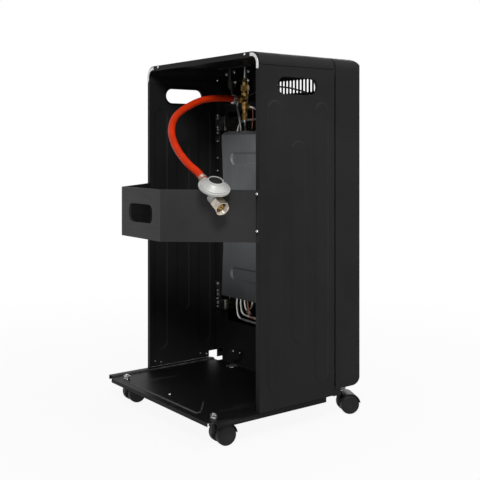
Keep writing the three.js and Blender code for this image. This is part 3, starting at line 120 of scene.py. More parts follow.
# Hose and regulator
HOSE_LENGTH = 409.0
VALVE_X = 53.0
VALVE_Y = -165.0
VALVE_INLET_Z = 675.0
HOSE_START = (VALVE_X, -140.0, VALVE_INLET_Z)
REGULATOR_PLACE = Vector((-171.5, 79.0, 489.0))
REGULATOR_UP = Vector((-0.477, 0.104, 0.863)).normalized()
REGULATOR_SIDE = REGULATOR_UP.cross(Vector((-0.862, 0.066, -0.485))).normalized()
REGULATOR_INLET = REGULATOR_SIDE.cross(REGULATOR_UP)
REGULATOR = Matrix.Translation(REGULATOR_PLACE) @ Matrix(
    (REGULATOR_INLET, REGULATOR_SIDE, REGULATOR_UP)
).transposed().to_4x4()
OUTLET_DROP = 8.0
OUTLET_REACH = 40.0
INLET_DROP = 21.5
INLET_REACH = 22.0
FLANGE_RADIUS = 31.0
COVER_HEIGHT = 16.0
CAP_RADIUS = 12.9
NECK_RADIUS = 10.5
NECK_SHIFT = 8.5
BOWL_RADIUS = 16.0
BOWL_HEIGHT = 29.0

# Casters: where each stem stands, and how far its wheels have swung from trailing forward
CASTERS = ((-168.0, 77.0, -7.0), (168.0, 77.0, -4.0), (-168.0, -250.0, -25.5), (168.0, -250.0, 12.0))
WHEEL_RADIUS = 20.0
WHEEL_WIDTH = 12.5
WHEEL_SPAN = 41.0
WHEEL_TRAIL = 18.0
HOOD_RADIUS = 22.6
HOOD_SHEET = 1.6
HOOD_WEB_RADIUS = 12.0

# Controls on the top
PANEL_FACE = 753.3
IGNITER_X = 104.0
KNOB_RADIUS = 20.0
KNOB_GRIP = 15.5
KNOB_HEIGHT = 19.0
KNOB_FOOT = PANEL_FACE + 4.6
KNOB_BORE = 3.3
KNOB_FLUTES = 10
KNOB_FLUTE_INNER = 11.0
KNOB_FLUTE_START = 4.2
KNOB_FLUTE_DEPTH = 1.9

# Burner and gas train
BURNER_X = (-96.0, 0.0, 96.0)
BURNER_Y = -220.0 - GAP
BELL_MOUTH = 201.0
GUARD_Y = -269.0
GUARD_REACH = 156.0
GUARD_BOTTOM = 234.0
GUARD_TOP = 566.0
GUARD_PITCH = 30.0
GUARD_WIRE = 1.5
GUARD_STAY = 2.0

AXIS_X = Vector((1, 0, 0))
AXIS_Y = Vector((0, 1, 0))
AXIS_Z = Vector((0, 0, 1))


# ---------------------------------------------------------------- settings


class HeaterPaint(bpy.types.PropertyGroup):
    """Colours of the painted, moulded and rubber pieces"""

    powder_coat: FloatVectorProperty(
        name="Powder coat", description="Colour of the cabinet's satin powder coat",
        subtype="COLOR", default=(0.0175, 0.0168, 0.0170), min=0, max=1)
    plastic: FloatVectorProperty(
        name="Plastic", description="Colour of the knob, the casters and the other mouldings",
        subtype="COLOR", default=(0.0075, 0.0075, 0.0075), min=0, max=1)
    hose: FloatVectorProperty(
        name="Hose", description="Colour of the gas hose's rubber",
        subtype="COLOR", default=(0.80, 0.040, 0.005), min=0, max=1)
    casting: FloatVectorProperty(
        name="Casting", description="Colour of the regulator's lacquered casting",
        subtype="COLOR", default=(0.50, 0.50, 0.48), min=0, max=1)
    shield: FloatVectorProperty(
        name="Shield", description="Colour of the heat shield's bare rolled sheet",
        subtype="COLOR", default=(0.37, 0.392, 0.405), min=0, max=1)


class HeaterSheet(bpy.types.PropertyGroup):
    """Sizes of the sheet metal's finish"""

    thickness: FloatProperty(
        name="Thickness", description="Thickness of the cabinet's sheet",
        unit="LENGTH", default=SHEET * MM, min=0.0005, max=0.003)
    edge: FloatProperty(
        name="Edge radius", description="Radius left on a cut or folded edge by the paint",
        unit="LENGTH", default=0.35 * MM, min=0, max=0.001)
    orange_peel: FloatProperty(
        name="Orange peel", description="Height of the powder coat's fine waves",
        unit="LENGTH", default=0.03 * MM, min=0, max=0.0005)


class HeaterHose(bpy.types.PropertyGroup):
    """The gas hose"""

    diameter: FloatProperty(
        name="Diameter", description="Outside diameter of the hose",
        unit="LENGTH", default=15 * MM, min=0.01, max=0.02)
    length: FloatProperty(
        name="Length", description="Length of the hose from the valve's nozzle to the regulator's",
        unit="LENGTH", default=HOSE_LENGTH * MM, min=0.3, max=1.5)


class HeaterStudio(bpy.types.PropertyGroup):
    """The plain studio round the heater"""

    key: FloatProperty(
        name="Key lamp", description="Power of the soft lamp above and behind the open back",
        unit="POWER", default=36, min=0)
    side: FloatProperty(
        name="Side lamp", description="Power of the large soft lamp above the side panel",
        unit="POWER", default=7, min=0)
    front: FloatProperty(
        name="Front lamp", description="Power of the large soft lamp before the burner side",
        unit="POWER", default=14, min=0)
    ambient: FloatProperty(
        name="Ambient", description="Strength of the room's own light",
        subtype="FACTOR", default=0.125, min=0, max=1)
    floor: FloatProperty(
        name="Floor", description="Width of the pale floor",
        unit="LENGTH", default=24, min=2)


def settings(group):
    return getattr(bpy.context.scene, f"heater_{group}")


# ---------------------------------------------------------------- finishes


class Finish:
    """A node material that is put together round one Principled shader."""

    def __init__(self, name, roughness=0.5, metallic=0.0, specular=0.5):
        self.material = bpy.data.materials.new(name)
        self.material.use_nodes = True
        self.tree = self.material.node_tree
        self.shader = self.tree.nodes["Principled BSDF"]
        self.set(Roughness=roughness, Metallic=metallic)
        self.shader.inputs["Specular IOR Level"].default_value = specular
        self.place = self.add("ShaderNodeTexCoord").outputs["Object"]

    def set(self, **sockets):
        for name, value in sockets.items():
            self.feed(self.shader.inputs[name.replace("_", " ")], value)

    def feed(self, socket, value):
        if isinstance(value, bpy.types.NodeSocket):
            self.tree.links.new(value, socket)
        elif isinstance(value, (tuple, list)) and len(value) == 3 and socket.type == "RGBA":
            socket.default_value = (*value, 1)
        else:
            socket.default_value = value

    def add(self, kind, sockets=None, **options):
        node = self.tree.nodes.new(kind)
        for name, value in options.items():
            setattr(node, name, value)
        for name, value in (sockets or {}).items():
            self.feed(node.inputs[name], value)
        return node

    def placed(self, stretch):
        return self.add("ShaderNodeMapping", {"Vector": self.place, "Scale": stretch}).outputs[0]

    def noise(self, scale, detail=2.0, stretch=(1, 1, 1)):
        node = self.add("ShaderNodeTexNoise", {"Vector": self.placed(stretch), "Scale": scale,
                                               "Detail": detail})
        return node.outputs["Fac"]

    def cells(self, scale, randomness=1.0):
        return self.add("ShaderNodeTexVoronoi", {"Vector": self.place, "Scale": scale,
                                                 "Randomness": randomness})

    def between(self, factor, low, high, start=0.35, end=0.65):
        node = self.add("ShaderNodeMapRange", {"Value": factor, "From Min": start, "From Max": end,
                                               "To Min": low, "To Max": high})
        return node.outputs[0]

    def mix(self, factor, dark, light):
        node = self.add("ShaderNodeMix", data_type="RGBA")
        self.feed(node.inputs["Factor"], factor)
        self.feed(node.inputs[6], dark)
        self.feed(node.inputs[7], light)
        return node.outputs[2]

    def bump(self, height, distance, strength=1.0, under=None):
        node = self.add("ShaderNodeBump", {"Height": height, "Distance": distance, "Strength": strength})
        if under:
            self.feed(node.inputs["Normal"], under)
        return node.outputs[0]


def shade(colour, factor):
    return tuple(min(1.0, channel * factor) for channel in colour)


def black_paint():
    """Satin powder coat: fine orange peel, slight patches of gloss and of tone."""
    coat = tuple(settings("paint").powder_coat)
    finish = Finish("black_paint", specular=0.07)
    patches = finish.between(finish.noise(7, 4), 0, 1)
    speck = finish.between(finish.noise(2600, 1), 0.94, 1.06, 0.3, 0.7)
    finish.set(Base_Color=finish.mix(patches, shade(coat, 0.88), shade(coat, 1.14)))
    gloss = finish.add("ShaderNodeMath", {0: finish.between(finish.noise(22, 3), 0.44, 0.54), 1: speck},
                       operation="MULTIPLY")
    finish.set(Roughness=gloss.outputs[0])
    peel = finish.bump(finish.noise(420, 2), settings("sheet").orange_peel, 0.8)
    finish.set(Normal=finish.bump(finish.noise(2300, 1), 0.006 * MM, 0.7, peel))
    return finish.material


def worn_enamel():
    """The floor plate's glossier coat, painted far darker than the cabinet's as painted shade for the unlit
    inside of the cabinet, with scuffs from bottles that were slid over it.
    """
    coat = tuple(settings("paint").powder_coat)
    finish = Finish("worn_enamel", specular=0.10)
    scuff = finish.between(finish.noise(38, 6, (1, 0.12, 1)), 0, 1, 0.60, 0.74)
    dust = finish.between(finish.noise(9, 5), 0, 0.5, 0.5, 0.8)
    # painted shade: the plate's coat is set to a fifth to under half of the powder coat, for the unlit inside
    # of the cabinet; the dust patches vary it
    tone = finish.mix(dust, shade(coat, 0.20), shade(coat, 0.45))
    finish.set(Base_Color=finish.mix(scuff, tone, shade(coat, 1.8)))
    finish.set(Roughness=finish.between(scuff, 0.46, 0.6, 0, 1))
    peel = finish.bump(finish.noise(380, 2), settings("sheet").orange_peel, 0.8)
    finish.set(Normal=finish.bump(scuff, 0.01 * MM, 0.5, peel))
    return finish.material


def patchy_finish(name, dark, light, patches, gloss, grain, metallic=0.0, specular=0.2):
    """A finish that drifts in patches between a dark and a light colour, under a fine even grain; its users
    paint light with it: a painted highlight on pressed edges and painted shade on the reflector's sides.
    """
    finish = Finish(name, metallic=metallic, specular=specular)
    patch_mask = finish.between(finish.noise(*patches), 0, 1)
    finish.set(Base_Color=finish.mix(patch_mask, dark, light), Roughness=finish.between(patch_mask, *gloss))
    finish.set(Normal=finish.bump(finish.noise(grain, 2), 0.01 * MM, 0.6))
    return finish.material


def rubbed_coat():
    """Coat painted grey along a pressed edge: a painted highlight where the edge would catch light."""
    coat = tuple(settings("paint").powder_coat)
    return patchy_finish("rubbed_coat", shade(coat, 1.5), shade(coat, 4.5), (60, 4), (0.45, 0.6), 900)


def sooted_steel():
    """Plated steel painted dark: painted shade on the reflector's sides."""
    return patchy_finish("sooted_steel", (0.03, 0.03, 0.03), (0.10, 0.10, 0.098), (30, 5), (0.42, 0.6), 800,
                  metallic=0.8, specular=0.3)


def shield_steel():
    """Bare rolled sheet: fine streaks along the rolling direction, and painted shade that makes it darker low
    down, below the retainer.
    """
    steel = tuple(settings("paint").shield)
    finish = Finish("shield_steel", metallic=0.3, specular=0.3)
    cloud = finish.between(finish.noise(9, 5), 0, 1)
    streak = finish.noise(160, 4, (1, 1, 0.04))
    tone = finish.mix(cloud, shade(steel, 0.86), shade(steel, 1.1))
    rolled = finish.mix(finish.between(streak, 0, 0.25), tone, shade(steel, 1.35))
    rise = finish.add("ShaderNodeSeparateXYZ", {"Vector": finish.place}).outputs[2]
    # painted shade: the sheet darkens to 0.28 of its colour towards the bottom
    low_painted_shade = finish.between(rise, 0, 1, 0.18, 0.50)
    finish.set(Base_Color=finish.mix(low_painted_shade, shade(steel, 0.28), rolled))
    finish.set(Roughness=finish.between(streak, 0.38, 0.5), Normal=finish.bump(streak, 0.02 * MM, 0.5))
    return finish.material


def zinc_steel():
    """Zinc plate with a faint spangle."""
    finish = Finish("zinc_steel", metallic=1.0)
    spangle = finish.cells(160).outputs["Color"]
    grey = finish.add("ShaderNodeRGBToBW", {"Color": spangle}).outputs[0]
    finish.set(Base_Color=finish.mix(grey, (0.50, 0.50, 0.49), (0.70, 0.70, 0.69)))
    finish.set(Roughness=finish.between(grey, 0.26, 0.40, 0.2, 0.8))
    finish.set(Normal=finish.bump(finish.noise(900, 2), 0.01 * MM, 0.6))
    return finish.material


def ceramic():
    """Fired plaque: a close grid of fine ports, painted near black as painted shade in each hole, and pale,
    slightly stained ware.
    """
    finish = Finish("ceramic", roughness=0.9, specular=0.2)
    ports = finish.cells(430, randomness=0.0).outputs["Distance"]
    port = finish.between(ports, 0, 1, 0.22, 0.34)
    stain = finish.between(finish.noise(26, 4), 0, 1)
    ware = finish.mix(stain, (0.62, 0.54, 0.41), (0.74, 0.68, 0.56))
    # painted shade: each port is painted near black, as the inside of a hole
    finish.set(Base_Color=finish.mix(port, (0.05, 0.04, 0.03), ware))
    finish.set(Normal=finish.bump(port, 0.6 * MM, 0.9))
    return finish.material


def grained(name, dark, light, gloss, patches=(60, 4), blend=(0.35, 0.65), grain=(1500, 2, (1, 1, 1.6)),
            depth=0.008, strength=0.6, metallic=1.0, specular=0.5, wave=None):
    """A finish whose tone drifts in patches, and whose gloss and relief follow one grain."""
    finish = Finish(name, metallic=metallic, specular=specular)
    tone = finish.between(finish.noise(*patches), 0, 1, *blend)
    marks = finish.noise(*grain)
    under = finish.bump(finish.noise(*wave), 0.12 * MM, 0.5) if wave else None
    finish.set(Base_Color=finish.mix(tone, paint_tone(dark), paint_tone(light)))
    finish.set(Roughness=finish.between(marks, *gloss))
    finish.set(Normal=finish.bump(marks, depth * MM, strength, under))
    return finish.material


def paint_tone(colour):
    """A colour as it stands, or one of the paint settings at a (name, factor)."""
    if isinstance(colour[0], str):
        return shade(tuple(getattr(settings("paint"), colour[0])), colour[1])
    return colour


# Machined, drawn, cast, moulded and coated finishes: dark tone, light tone, gloss and grain
WIRE_MARKS = (500, 2, (0.05, 1, 1))
GRAINED = {
    "brass": dict(dark=(0.22, 0.12, 0.035), light=(0.56, 0.37, 0.13), gloss=(0.24, 0.42)),
    "copper": dict(dark=(0.34, 0.13, 0.07), light=(0.62, 0.28, 0.16), gloss=(0.26, 0.42)),
    "aluminium": dict(dark=(0.48, 0.48, 0.46), light=(0.68, 0.68, 0.66), gloss=(0.28, 0.42)),
    "nickel": dict(dark=(0.40, 0.35, 0.29), light=(0.62, 0.57, 0.49), gloss=(0.18, 0.32)),
    "dull_clamp": dict(dark=(0.20, 0.15, 0.12), light=(0.34, 0.27, 0.22), gloss=(0.36, 0.5)),
    "guard_steel": dict(dark=(0.52, 0.52, 0.53), light=(0.70, 0.70, 0.71), gloss=(0.18, 0.30),
                        patches=WIRE_MARKS, blend=(0, 1), grain=WIRE_MARKS),
    "reflector_steel": dict(dark=(0.72, 0.73, 0.72), light=(0.66, 0.604, 0.504), gloss=(0.16, 0.27),
                            patches=(11, 3), blend=(0.42, 0.7), grain=(300, 3, (0.03, 1, 1)),
                            depth=0.01, strength=0.5),
    "cast_metal": dict(dark=("casting", 0.93), light=("casting", 1.08), gloss=(0.42, 0.56),
                       patches=(45, 4), grain=(1400, 3), depth=0.03, strength=0.55,
                       metallic=0.2, specular=0.4),
    "black_plastic": dict(dark=("plastic", 1.0), light=("plastic", 1.7), gloss=(0.40, 0.56),
                          patches=(70, 4), blend=(0.45, 0.75), grain=(1900, 2), depth=0.03,
                          metallic=0.0, specular=0.22),
    # the bottle retainer's coat: the powder coat painted 1.25 to 1.8 times lighter, a painted sheen
    "satin_coat": dict(dark=("powder_coat", 1.25), light=("powder_coat", 1.8), gloss=(0.34, 0.46),
                       patches=(8, 4), grain=(240, 3, (0.06, 0.06, 1)), strength=0.5,
                       metallic=0.0, specular=0.18),
    "lead_jacket": dict(dark=(0.006, 0.006, 0.006), light=(0.014, 0.014, 0.014), gloss=(0.42, 0.58),
                        patches=(800, 2), blend=(0, 1), grain=(800, 2), depth=0.02, strength=0.5,
                        metallic=0.0, specular=0.35),
    "orange_rubber": dict(dark=("hose", 1.0), light=("hose", 0.82), gloss=(0.36, 0.50),
                          patches=(38, 5), blend=(0.4, 0.75), grain=(900, 2), depth=0.012,
                          metallic=0.0, specular=0.12, wave=(70, 2)),
}
RECIPES = {recipe.__name__: recipe for recipe in
           (black_paint, worn_enamel, rubbed_coat, sooted_steel, shield_steel, zinc_steel, ceramic)}
FINISHES = {}


def finish_named(name):
    if name not in FINISHES:
        FINISHES[name] = RECIPES[name]() if name in RECIPES else grained(name, **GRAINED[name])
    return FINISHES[name]


# ---------------------------------------------------------------- shaping


def aimed(place, direction):
    """Turns a shape drawn along Z so that it points along the direction from a place."""
    return Matrix.Translation(place) @ Vector(direction).to_track_quat("Z", "Y").to_matrix().to_4x4()


def upright(x):
    """Sets a drawing in (y, z) upright in the plane at x, facing +X."""
    return Matrix(((0, 0, 1, x), (1, 0, 0, 0), (0, 1, 0, 0), (0, 0, 0, 1)))


def polygon(bm, points, matrix):
    corners = [bm.verts.new(matrix @ Vector((*point, 0))) for point in points]
    return [bm.edges.new(pair) for pair in zip(corners, corners[1:] + corners[:1])]


def outline(bm, width, height, radius, matrix, sides=32):
    """A ring of edges round a rectangle with rounded corners, or round a slot."""
    half_step = Matrix.Rotation(pi / sides, 4, "Z")
    ring = bmesh.ops.create_circle(bm, segments=sides, radius=radius, matrix=half_step)["verts"]
    for corner in ring:
        corner.co.x += copysign(width / 2 - radius, corner.co.x)
        corner.co.y += copysign(height / 2 - radius, corner.co.y)
    bmesh.ops.transform(bm, matrix=matrix, verts=ring)
    return list({edge for corner in ring for edge in corner.link_edges})


def press(bm, ring, outward, steps):
    """Fills a ring of edges and moves the face in and out by each (inset, rise) in turn."""
    face = bmesh.ops.contextual_create(bm, geom=ring)["faces"][0]
    face.normal_update()
    if face.normal.dot(outward) < 0:
        face.normal_flip()
    for inset, rise in steps:
        bmesh.ops.inset_region(bm, faces=[face], use_boundary=True, use_even_offset=True,
                               thickness=inset, depth=rise)
    return face


def soften(bm, faces, radius, angle=25.0, segments=3):
    """Rounds every edge between these faces that is sharper than the angle."""
    edges = {edge for face in faces for edge in face.edges}
    sharp = [edge for edge in edges
             if len(edge.link_faces) == 2 and edge.calc_face_angle() > radians(angle)]
    bmesh.ops.bevel(bm, geom=sharp, offset=radius, segments=segments, profile=0.5, affect="EDGES",
                    clamp_overlap=True, material=-1)


def beside(radius, height, *steps):
    """Profile points given by how far each stands out from a radius and up from a height."""
    return [(radius + out, height + up) for out, up in steps]


def lathe(bm, profile, matrix=None, sides=48, rounding=0.0, flats=0, across=0.0):
    """A closed shell turned about Z from (radius, height) points, with flats cut on it if asked."""
    shell = bmesh.new()
    points = [shell.verts.new((radius, 0, height)) for radius, height in profile]
    line = [shell.edges.new(pair) for pair in zip(points, points[1:])]
    bmesh.ops.spin(shell, geom=points + line, cent=(0, 0, 0), axis=(0, 0, 1), angle=2 * pi,
                   steps=sides, use_merge=True)
    bmesh.ops.remove_doubles(shell, verts=shell.verts, dist=0.001)
    bmesh.ops.recalc_face_normals(shell, faces=shell.faces)
    if rounding:
        soften(shell, shell.faces, rounding)
    for i in range(flats):
        outward = Vector((cos(2 * pi * (i + 0.5) / flats), sin(2 * pi * (i + 0.5) / flats), 0))
        parts = shell.verts[:] + shell.edges[:] + shell.faces[:]
        halved = bmesh.ops.bisect_plane(shell, geom=parts, dist=0.0001, plane_co=outward * across / 2,
                                        plane_no=outward, clear_outer=True)
        bmesh.ops.holes_fill(shell, edges=only(halved["geom_cut"], bmesh.types.BMEdge), sides=0)
    merge_into(bm, shell, matrix)


def merge_into(bm, shell, matrix=None):
    """Adds a finished shell to a mesh that is being built."""
    if matrix:
        bmesh.ops.transform(shell, matrix=matrix, verts=shell.verts)
    bmesh.ops.recalc_face_normals(shell, faces=shell.faces)
    mesh = bpy.data.meshes.new("shell")
    shell.to_mesh(mesh)
    shell.free()
    bm.from_mesh(mesh)
    bpy.data.meshes.remove(mesh)


def rod(bm, radius, length, matrix=None, sides=32, rounding=0.0):
    lathe(bm, [(0, 0), (radius, 0), (radius, length), (0, length)], matrix, sides, rounding)


def slab(bm, low, high, matrix=None, rounding=0.0):
    """A rectangular block between two corners, with its edges rounded."""
    low, high = Vector(low), Vector(high)
    shell = bmesh.new()
    size = high - low
    bmesh.ops.create_cube(shell, size=1, matrix=Matrix.Translation((low + high) / 2)
                          @ Matrix.Diagonal((*size, 1)))
    if rounding:
        soften(shell, shell.faces, rounding)
    merge_into(bm, shell, matrix)


def pan_screw(bm, place, direction, radius=3.1, rise=1.8):
    """A low domed head with a round driving recess."""
    lathe(bm, [(0, 0), (radius, 0), (radius, rise * 0.35), (radius * 0.86, rise * 0.8),
               (radius * 0.5, rise), (radius * 0.34, rise), (radius * 0.2, rise * 0.4), (0, rise * 0.35)],
          aimed(place, direction), 28, rounding=radius * 0.06)


def smooth_by_angle(bm, angle):
    for face in bm.faces:
        face.smooth = True
    for edge in bm.edges:
        if len(edge.link_faces) == 2:
            edge.smooth = edge.calc_face_angle() < radians(angle)


# ---------------------------------------------------------------- finishing


def dress(piece, slot, body="cabinet", nodes=(), finish=None):
    """Gives a piece its finish and its place on the frame."""
    if not piece.data.materials:
        piece.data.materials.append(finish_named(finish or slot))
    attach(piece, body)
    if nodes:
        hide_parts(*nodes)
    return piece


def object_from(name, bm, matrix=None, weld=0.002, crisp=32.0):
    """Turns a mesh drawn in millimetres into an object in the frame, shaded smooth but for its edges."""
    bmesh.ops.remove_doubles(bm, verts=bm.verts, dist=weld)
    if matrix:
        bmesh.ops.transform(bm, matrix=matrix, verts=bm.verts)
    smooth_by_angle(bm, crisp)
    mesh = bpy.data.meshes.new(name)
    bm.to_mesh(mesh)
    bm.free()
    piece = bpy.data.objects.new(name, mesh)
    bpy.context.collection.objects.link(piece)
    return piece


def make(name, bm, slot):
    """A small piece that the CAD model has no node for."""
    return dress(object_from(name, bm, TO_FRAME), slot)


def stand_in(node, bm, slot, body="cabinet", finish=None):
    """The finished form of one CAD piece."""
    return dress(object_from(f"{node}_finished", bm, TO_FRAME), slot, body, (node,), finish)


def thicken(piece):
    """Gives a pressed skin the thickness of its sheet, inwards."""
    wall = piece.modifiers.new("wall", "SOLIDIFY")
    wall.thickness = settings("sheet").thickness
    wall.offset = -1


def open_edges(bm):
    return [edge for edge in bm.edges if edge.is_boundary]


def close_skin(bm, outward):
    """Joins a pressed skin and turns its widest face outwards."""
    bmesh.ops.remove_doubles(bm, verts=bm.verts, dist=0.001)
    bmesh.ops.recalc_face_normals(bm, faces=bm.faces)
    if max(bm.faces, key=lambda face: face.calc_area()).normal.dot(outward) < 0:
        bmesh.ops.reverse_faces(bm, faces=bm.faces)


def only(items, kind):
    return [item for item in items if isinstance(item, kind)]


def ease_edges(piece, radius, angle=38.0):
    """Rounds the sharp edges of sheet metal and keeps its flats flat."""
    bevel = piece.modifiers.new("eased_edges", "BEVEL")
    bevel.width = radius
    bevel.segments = 2
    bevel.limit_method = "ANGLE"
    bevel.angle_limit = radians(angle)
    bevel.use_clamp_overlap = True
    bevel.harden_normals = False
    flats = piece.modifiers.new("flat_faces", "WEIGHTED_NORMAL")
    flats.keep_sharp = True
    flats.weight = 60


def merged_copy(node):
    """A copy of a CAD piece with its loose triangles joined into clean faces."""
    bm = bmesh.new()
    bm.from_mesh(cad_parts[node].data)
    bmesh.ops.remove_doubles(bm, verts=bm.verts, dist=0.01 * MM)
    bmesh.ops.dissolve_degenerate(bm, edges=bm.edges, dist=0.005 * MM)
    bmesh.ops.dissolve_limit(bm, angle_limit=radians(0.6), verts=bm.verts, edges=bm.edges)
    bmesh.ops.recalc_face_normals(bm, faces=bm.faces)
    return bm


def finish_sheet(node, slot, edge=None, body="cabinet", crisp=32.0, finish=None):
    """Stands in for a CAD piece with the same piece, its edges eased as real sheet and castings have them."""
    piece = object_from(f"{node}_finished", merged_copy(node), weld=0.001 * MM, crisp=crisp)
    ease_edges(piece, settings("sheet").edge if edge is None else edge)
    return dress(piece, slot, body, (node,), finish)


def second_finish(piece, name, wanted):
    """Gives the wanted faces of a piece another finish."""
    piece.data.materials.append(finish_named(name))
    for face in piece.data.polygons:
        if wanted(face):
            face.material_index = 1


def smooth_tube(node, points, radius, slot, sides=6):
    """A round tube along one smooth curve through given points."""
    name = f"{node}_finished"
    curve = bpy.data.curves.new(name, "CURVE")
    curve.dimensions = "3D"
    curve.resolution_u = 10
    curve.bevel_depth = radius * MM
    curve.bevel_resolution = sides
    curve.use_fill_caps = True
    line = curve.splines.new("BEZIER")
    line.bezier_points.add(len(points) - 1)
    for knot, point in zip(line.bezier_points, points):
        knot.co = TO_FRAME @ Vector(point)
        knot.handle_left_type = knot.handle_right_type = "AUTO"
    piece = bpy.data.objects.new(name, curve)
    bpy.context.collection.objects.link(piece)
    dress(piece, slot, nodes=(node,))


# ---------------------------------------------------------------- stage

CAMERA_PLACE = Vector((-1.46305, 1.065186, 0.5618))
CAMERA_HEADING = 233.11
CAMERA_LENS = 62.485
CAMERA_SENSOR = 36.0
CAMERA_SHIFT_X = 0.0004
CAMERA_SHIFT_Y = -0.190
# Each lamp's place, the point it looks at and its width
LAMPS = {
    "key": ((-1.8, 1.2, 1.85), (0, 0, 0.45), 0.7),
    "front": ((1.5, -2.1, 1.5), (0, 0, 0.45), 1.2),
    "side": ((-1.15, -0.45, 1.7), (-0.2, -0.1, 0.5), 0.9),
}
FLOOR_SHARE = 0.92
FLOOR_NEAR = 0.3
FLOOR_FADE = 1.5


def add_camera():
    lens = bpy.data.cameras.new("camera")
    lens.lens = CAMERA_LENS
    lens.sensor_width = CAMERA_SENSOR
    lens.shift_x = CAMERA_SHIFT_X
    lens.shift_y = CAMERA_SHIFT_Y
    camera = bpy.data.objects.new("camera", lens)
    camera.location = CAMERA_PLACE
    camera.rotation_euler = (radians(90), 0, radians(CAMERA_HEADING - 360))
    bpy.context.collection.objects.link(camera)
    bpy.context.scene.camera = camera


def seen_rays(tree):
    """1 for the rays that show the background: camera, glossy and transmission rays."""
    path = tree.nodes.new("ShaderNodeLightPath")
    total = path.outputs["Is Camera Ray"]
    for ray in ("Is Glossy Ray", "Is Transmission Ray"):
        either = tree.nodes.new("ShaderNodeMath")
        either.operation = "MAXIMUM"
        tree.links.new(total, either.inputs[0])
        tree.links.new(path.outputs[ray], either.inputs[1])
        total = either.outputs[0]
    return total


def add_world():
    world = bpy.data.worlds.new("studio")
    bpy.context.scene.world = world
    world.use_nodes = True
    tree = world.node_tree
    background = tree.nodes["Background"]
    background.inputs["Color"].default_value = (1, 1, 1, 1)
    strength = tree.nodes.new("ShaderNodeMapRange")
    strength.inputs["To Min"].default_value = settings("studio").ambient
    strength.inputs["To Max"].default_value = 1.0
    tree.links.new(seen_rays(tree), strength.inputs["Value"])
    tree.links.new(strength.outputs[0], background.inputs["Strength"])


def add_lamp(name, place, target, size, power):
    light = bpy.data.lights.new(name, "AREA")
    light.shape = "DISK"
    light.size = size
    light.energy = power
    lamp = bpy.data.objects.new(name, light)
    lamp.matrix_world = aimed(place, Vector(place) - Vector(target))
    bpy.context.collection.objects.link(lamp)


def add_floor():
    """A pale floor that keeps the shadow and glows more with distance, until it meets the background."""
    bm = bmesh.new()
    bmesh.ops.create_grid(bm, x_segments=1, y_segments=1, size=settings("studio").floor / 2)
    mesh = bpy.data.meshes.new("floor")
    bm.to_mesh(mesh)
    bm.free()
    floor = bpy.data.objects.new("floor", mesh)
    bpy.context.collection.objects.link(floor)
    finish = Finish("pale_floor", roughness=0.9, specular=0.1)
    finish.set(Base_Color=(0.86, 0.86, 0.86))
    tree = finish.tree
    glow = tree.nodes.new("ShaderNodeEmission")
    blend = tree.nodes.new("ShaderNodeMixShader")
    share = tree.nodes.new("ShaderNodeMath")
    share.operation = "MULTIPLY"
    distance = finish.add("ShaderNodeVectorMath", {0: finish.place}, operation="LENGTH")
    fade = finish.between(distance.outputs["Value"], FLOOR_SHARE, 1.0, FLOOR_NEAR, FLOOR_FADE)
    tree.links.new(seen_rays(tree), share.inputs[0])
    tree.links.new(fade, share.inputs[1])
    tree.links.new(share.outputs[0], blend.inputs[0])
    tree.links.new(finish.shader.outputs[0], blend.inputs[1])
    tree.links.new(glow.outputs[0], blend.inputs[2])
    tree.links.new(blend.outputs[0], tree.nodes["Material Output"].inputs["Surface"])
    mesh.materials.append(finish.material)


# ---------------------------------------------------------------- hose and regulator


def hose_route():
    end = REGULATOR @ Vector((-OUTLET_REACH - GAP, 0, -OUTLET_DROP))
    return [
        (53, -140, 675), (53, -126, 675), (53, -98, 675), (53, -70, 673), (51, -42, 667.5),
        (48, -12, 656), (42, 16, 642), (33, 38, 626), (21, 52, 609), (6, 62, 593), (-11, 68, 577),
        (-31, 72, 561), (-54, 75, 546), (-78, 76.5, 532),
        end - REGULATOR_INLET * 26, end - REGULATOR_INLET * 13, end,
    ]


def hose_clamp(matrix):
    """A worm-drive clamp: a slotted band, the screw's housing and the screw with its round, dished head."""
    band = bmesh.new()
    inner, outer, length = 7.8, 8.6, 9.0
    lathe(band, [(inner, 0), (outer, 0), (outer, length), (inner, length), (inner, 0)], None, 56, 0.25)
    for i in range(22):
        turn = Matrix.Rotation(2 * pi * (i + 8) / 34, 4, "Z")
        slab(band, (outer - 0.3, -0.25, 1.8), (outer + 0.28, 0.25, length - 1.8), turn, 0.08)
    slab(band, (-5.2, outer - 0.7, 0.2), (5.2, outer + 2.6, length - 0.2), None, 0.7)
    screw = Matrix.Translation((0, outer + 1.3, length / 2))
    lathe(band, [(0, -6.2), (2.1, -6.2), (2.1, 5.0), (2.9, 5.0), (2.9, 6.4), (0.9, 6.4), (0.6, 5.9),
                 (0, 5.9)], screw @ aimed((0, 0, 0), AXIS_X), 24, 0.12)
    bmesh.ops.transform(band, matrix=matrix, verts=band.verts)
    stand_in("hose_clamp_valve", band, "zinc_steel")


def hose_ferrule():
    """The pressed sleeve that holds the hose on the regulator's nozzle, with three crimped grooves."""
    bm = bmesh.new()
    inner, outer, groove, length = 7.8, 8.7, 8.2, 9.0
    crimps = []
    for i in range(3):
        start = 1.2 + 2.5 * i
        crimps += [(outer, start), (groove, start + 0.5), (groove, start + 1.1), (outer, start + 1.6)]
    end = Matrix.Translation((-OUTLET_REACH - GAP - 0.1, 0, -OUTLET_DROP)) @ Matrix.Rotation(-pi / 2, 4, "Y")
    lathe(bm, [(inner, 0), (outer - 0.4, 0), (outer, 0.4), *crimps, (outer, length - 0.4),
               (outer - 0.4, length), (inner, length), (inner, 0)],
          REGULATOR @ end, 56, 0.1)
    stand_in("hose_clamp_regulator", bm, "zinc_steel", finish="dull_clamp")


def inlet_axis():
    """Aims a shape drawn along Z down the regulator's inlet."""
    return Matrix.Translation((0, 0, -INLET_DROP)) @ aimed((0, 0, 0), AXIS_X)


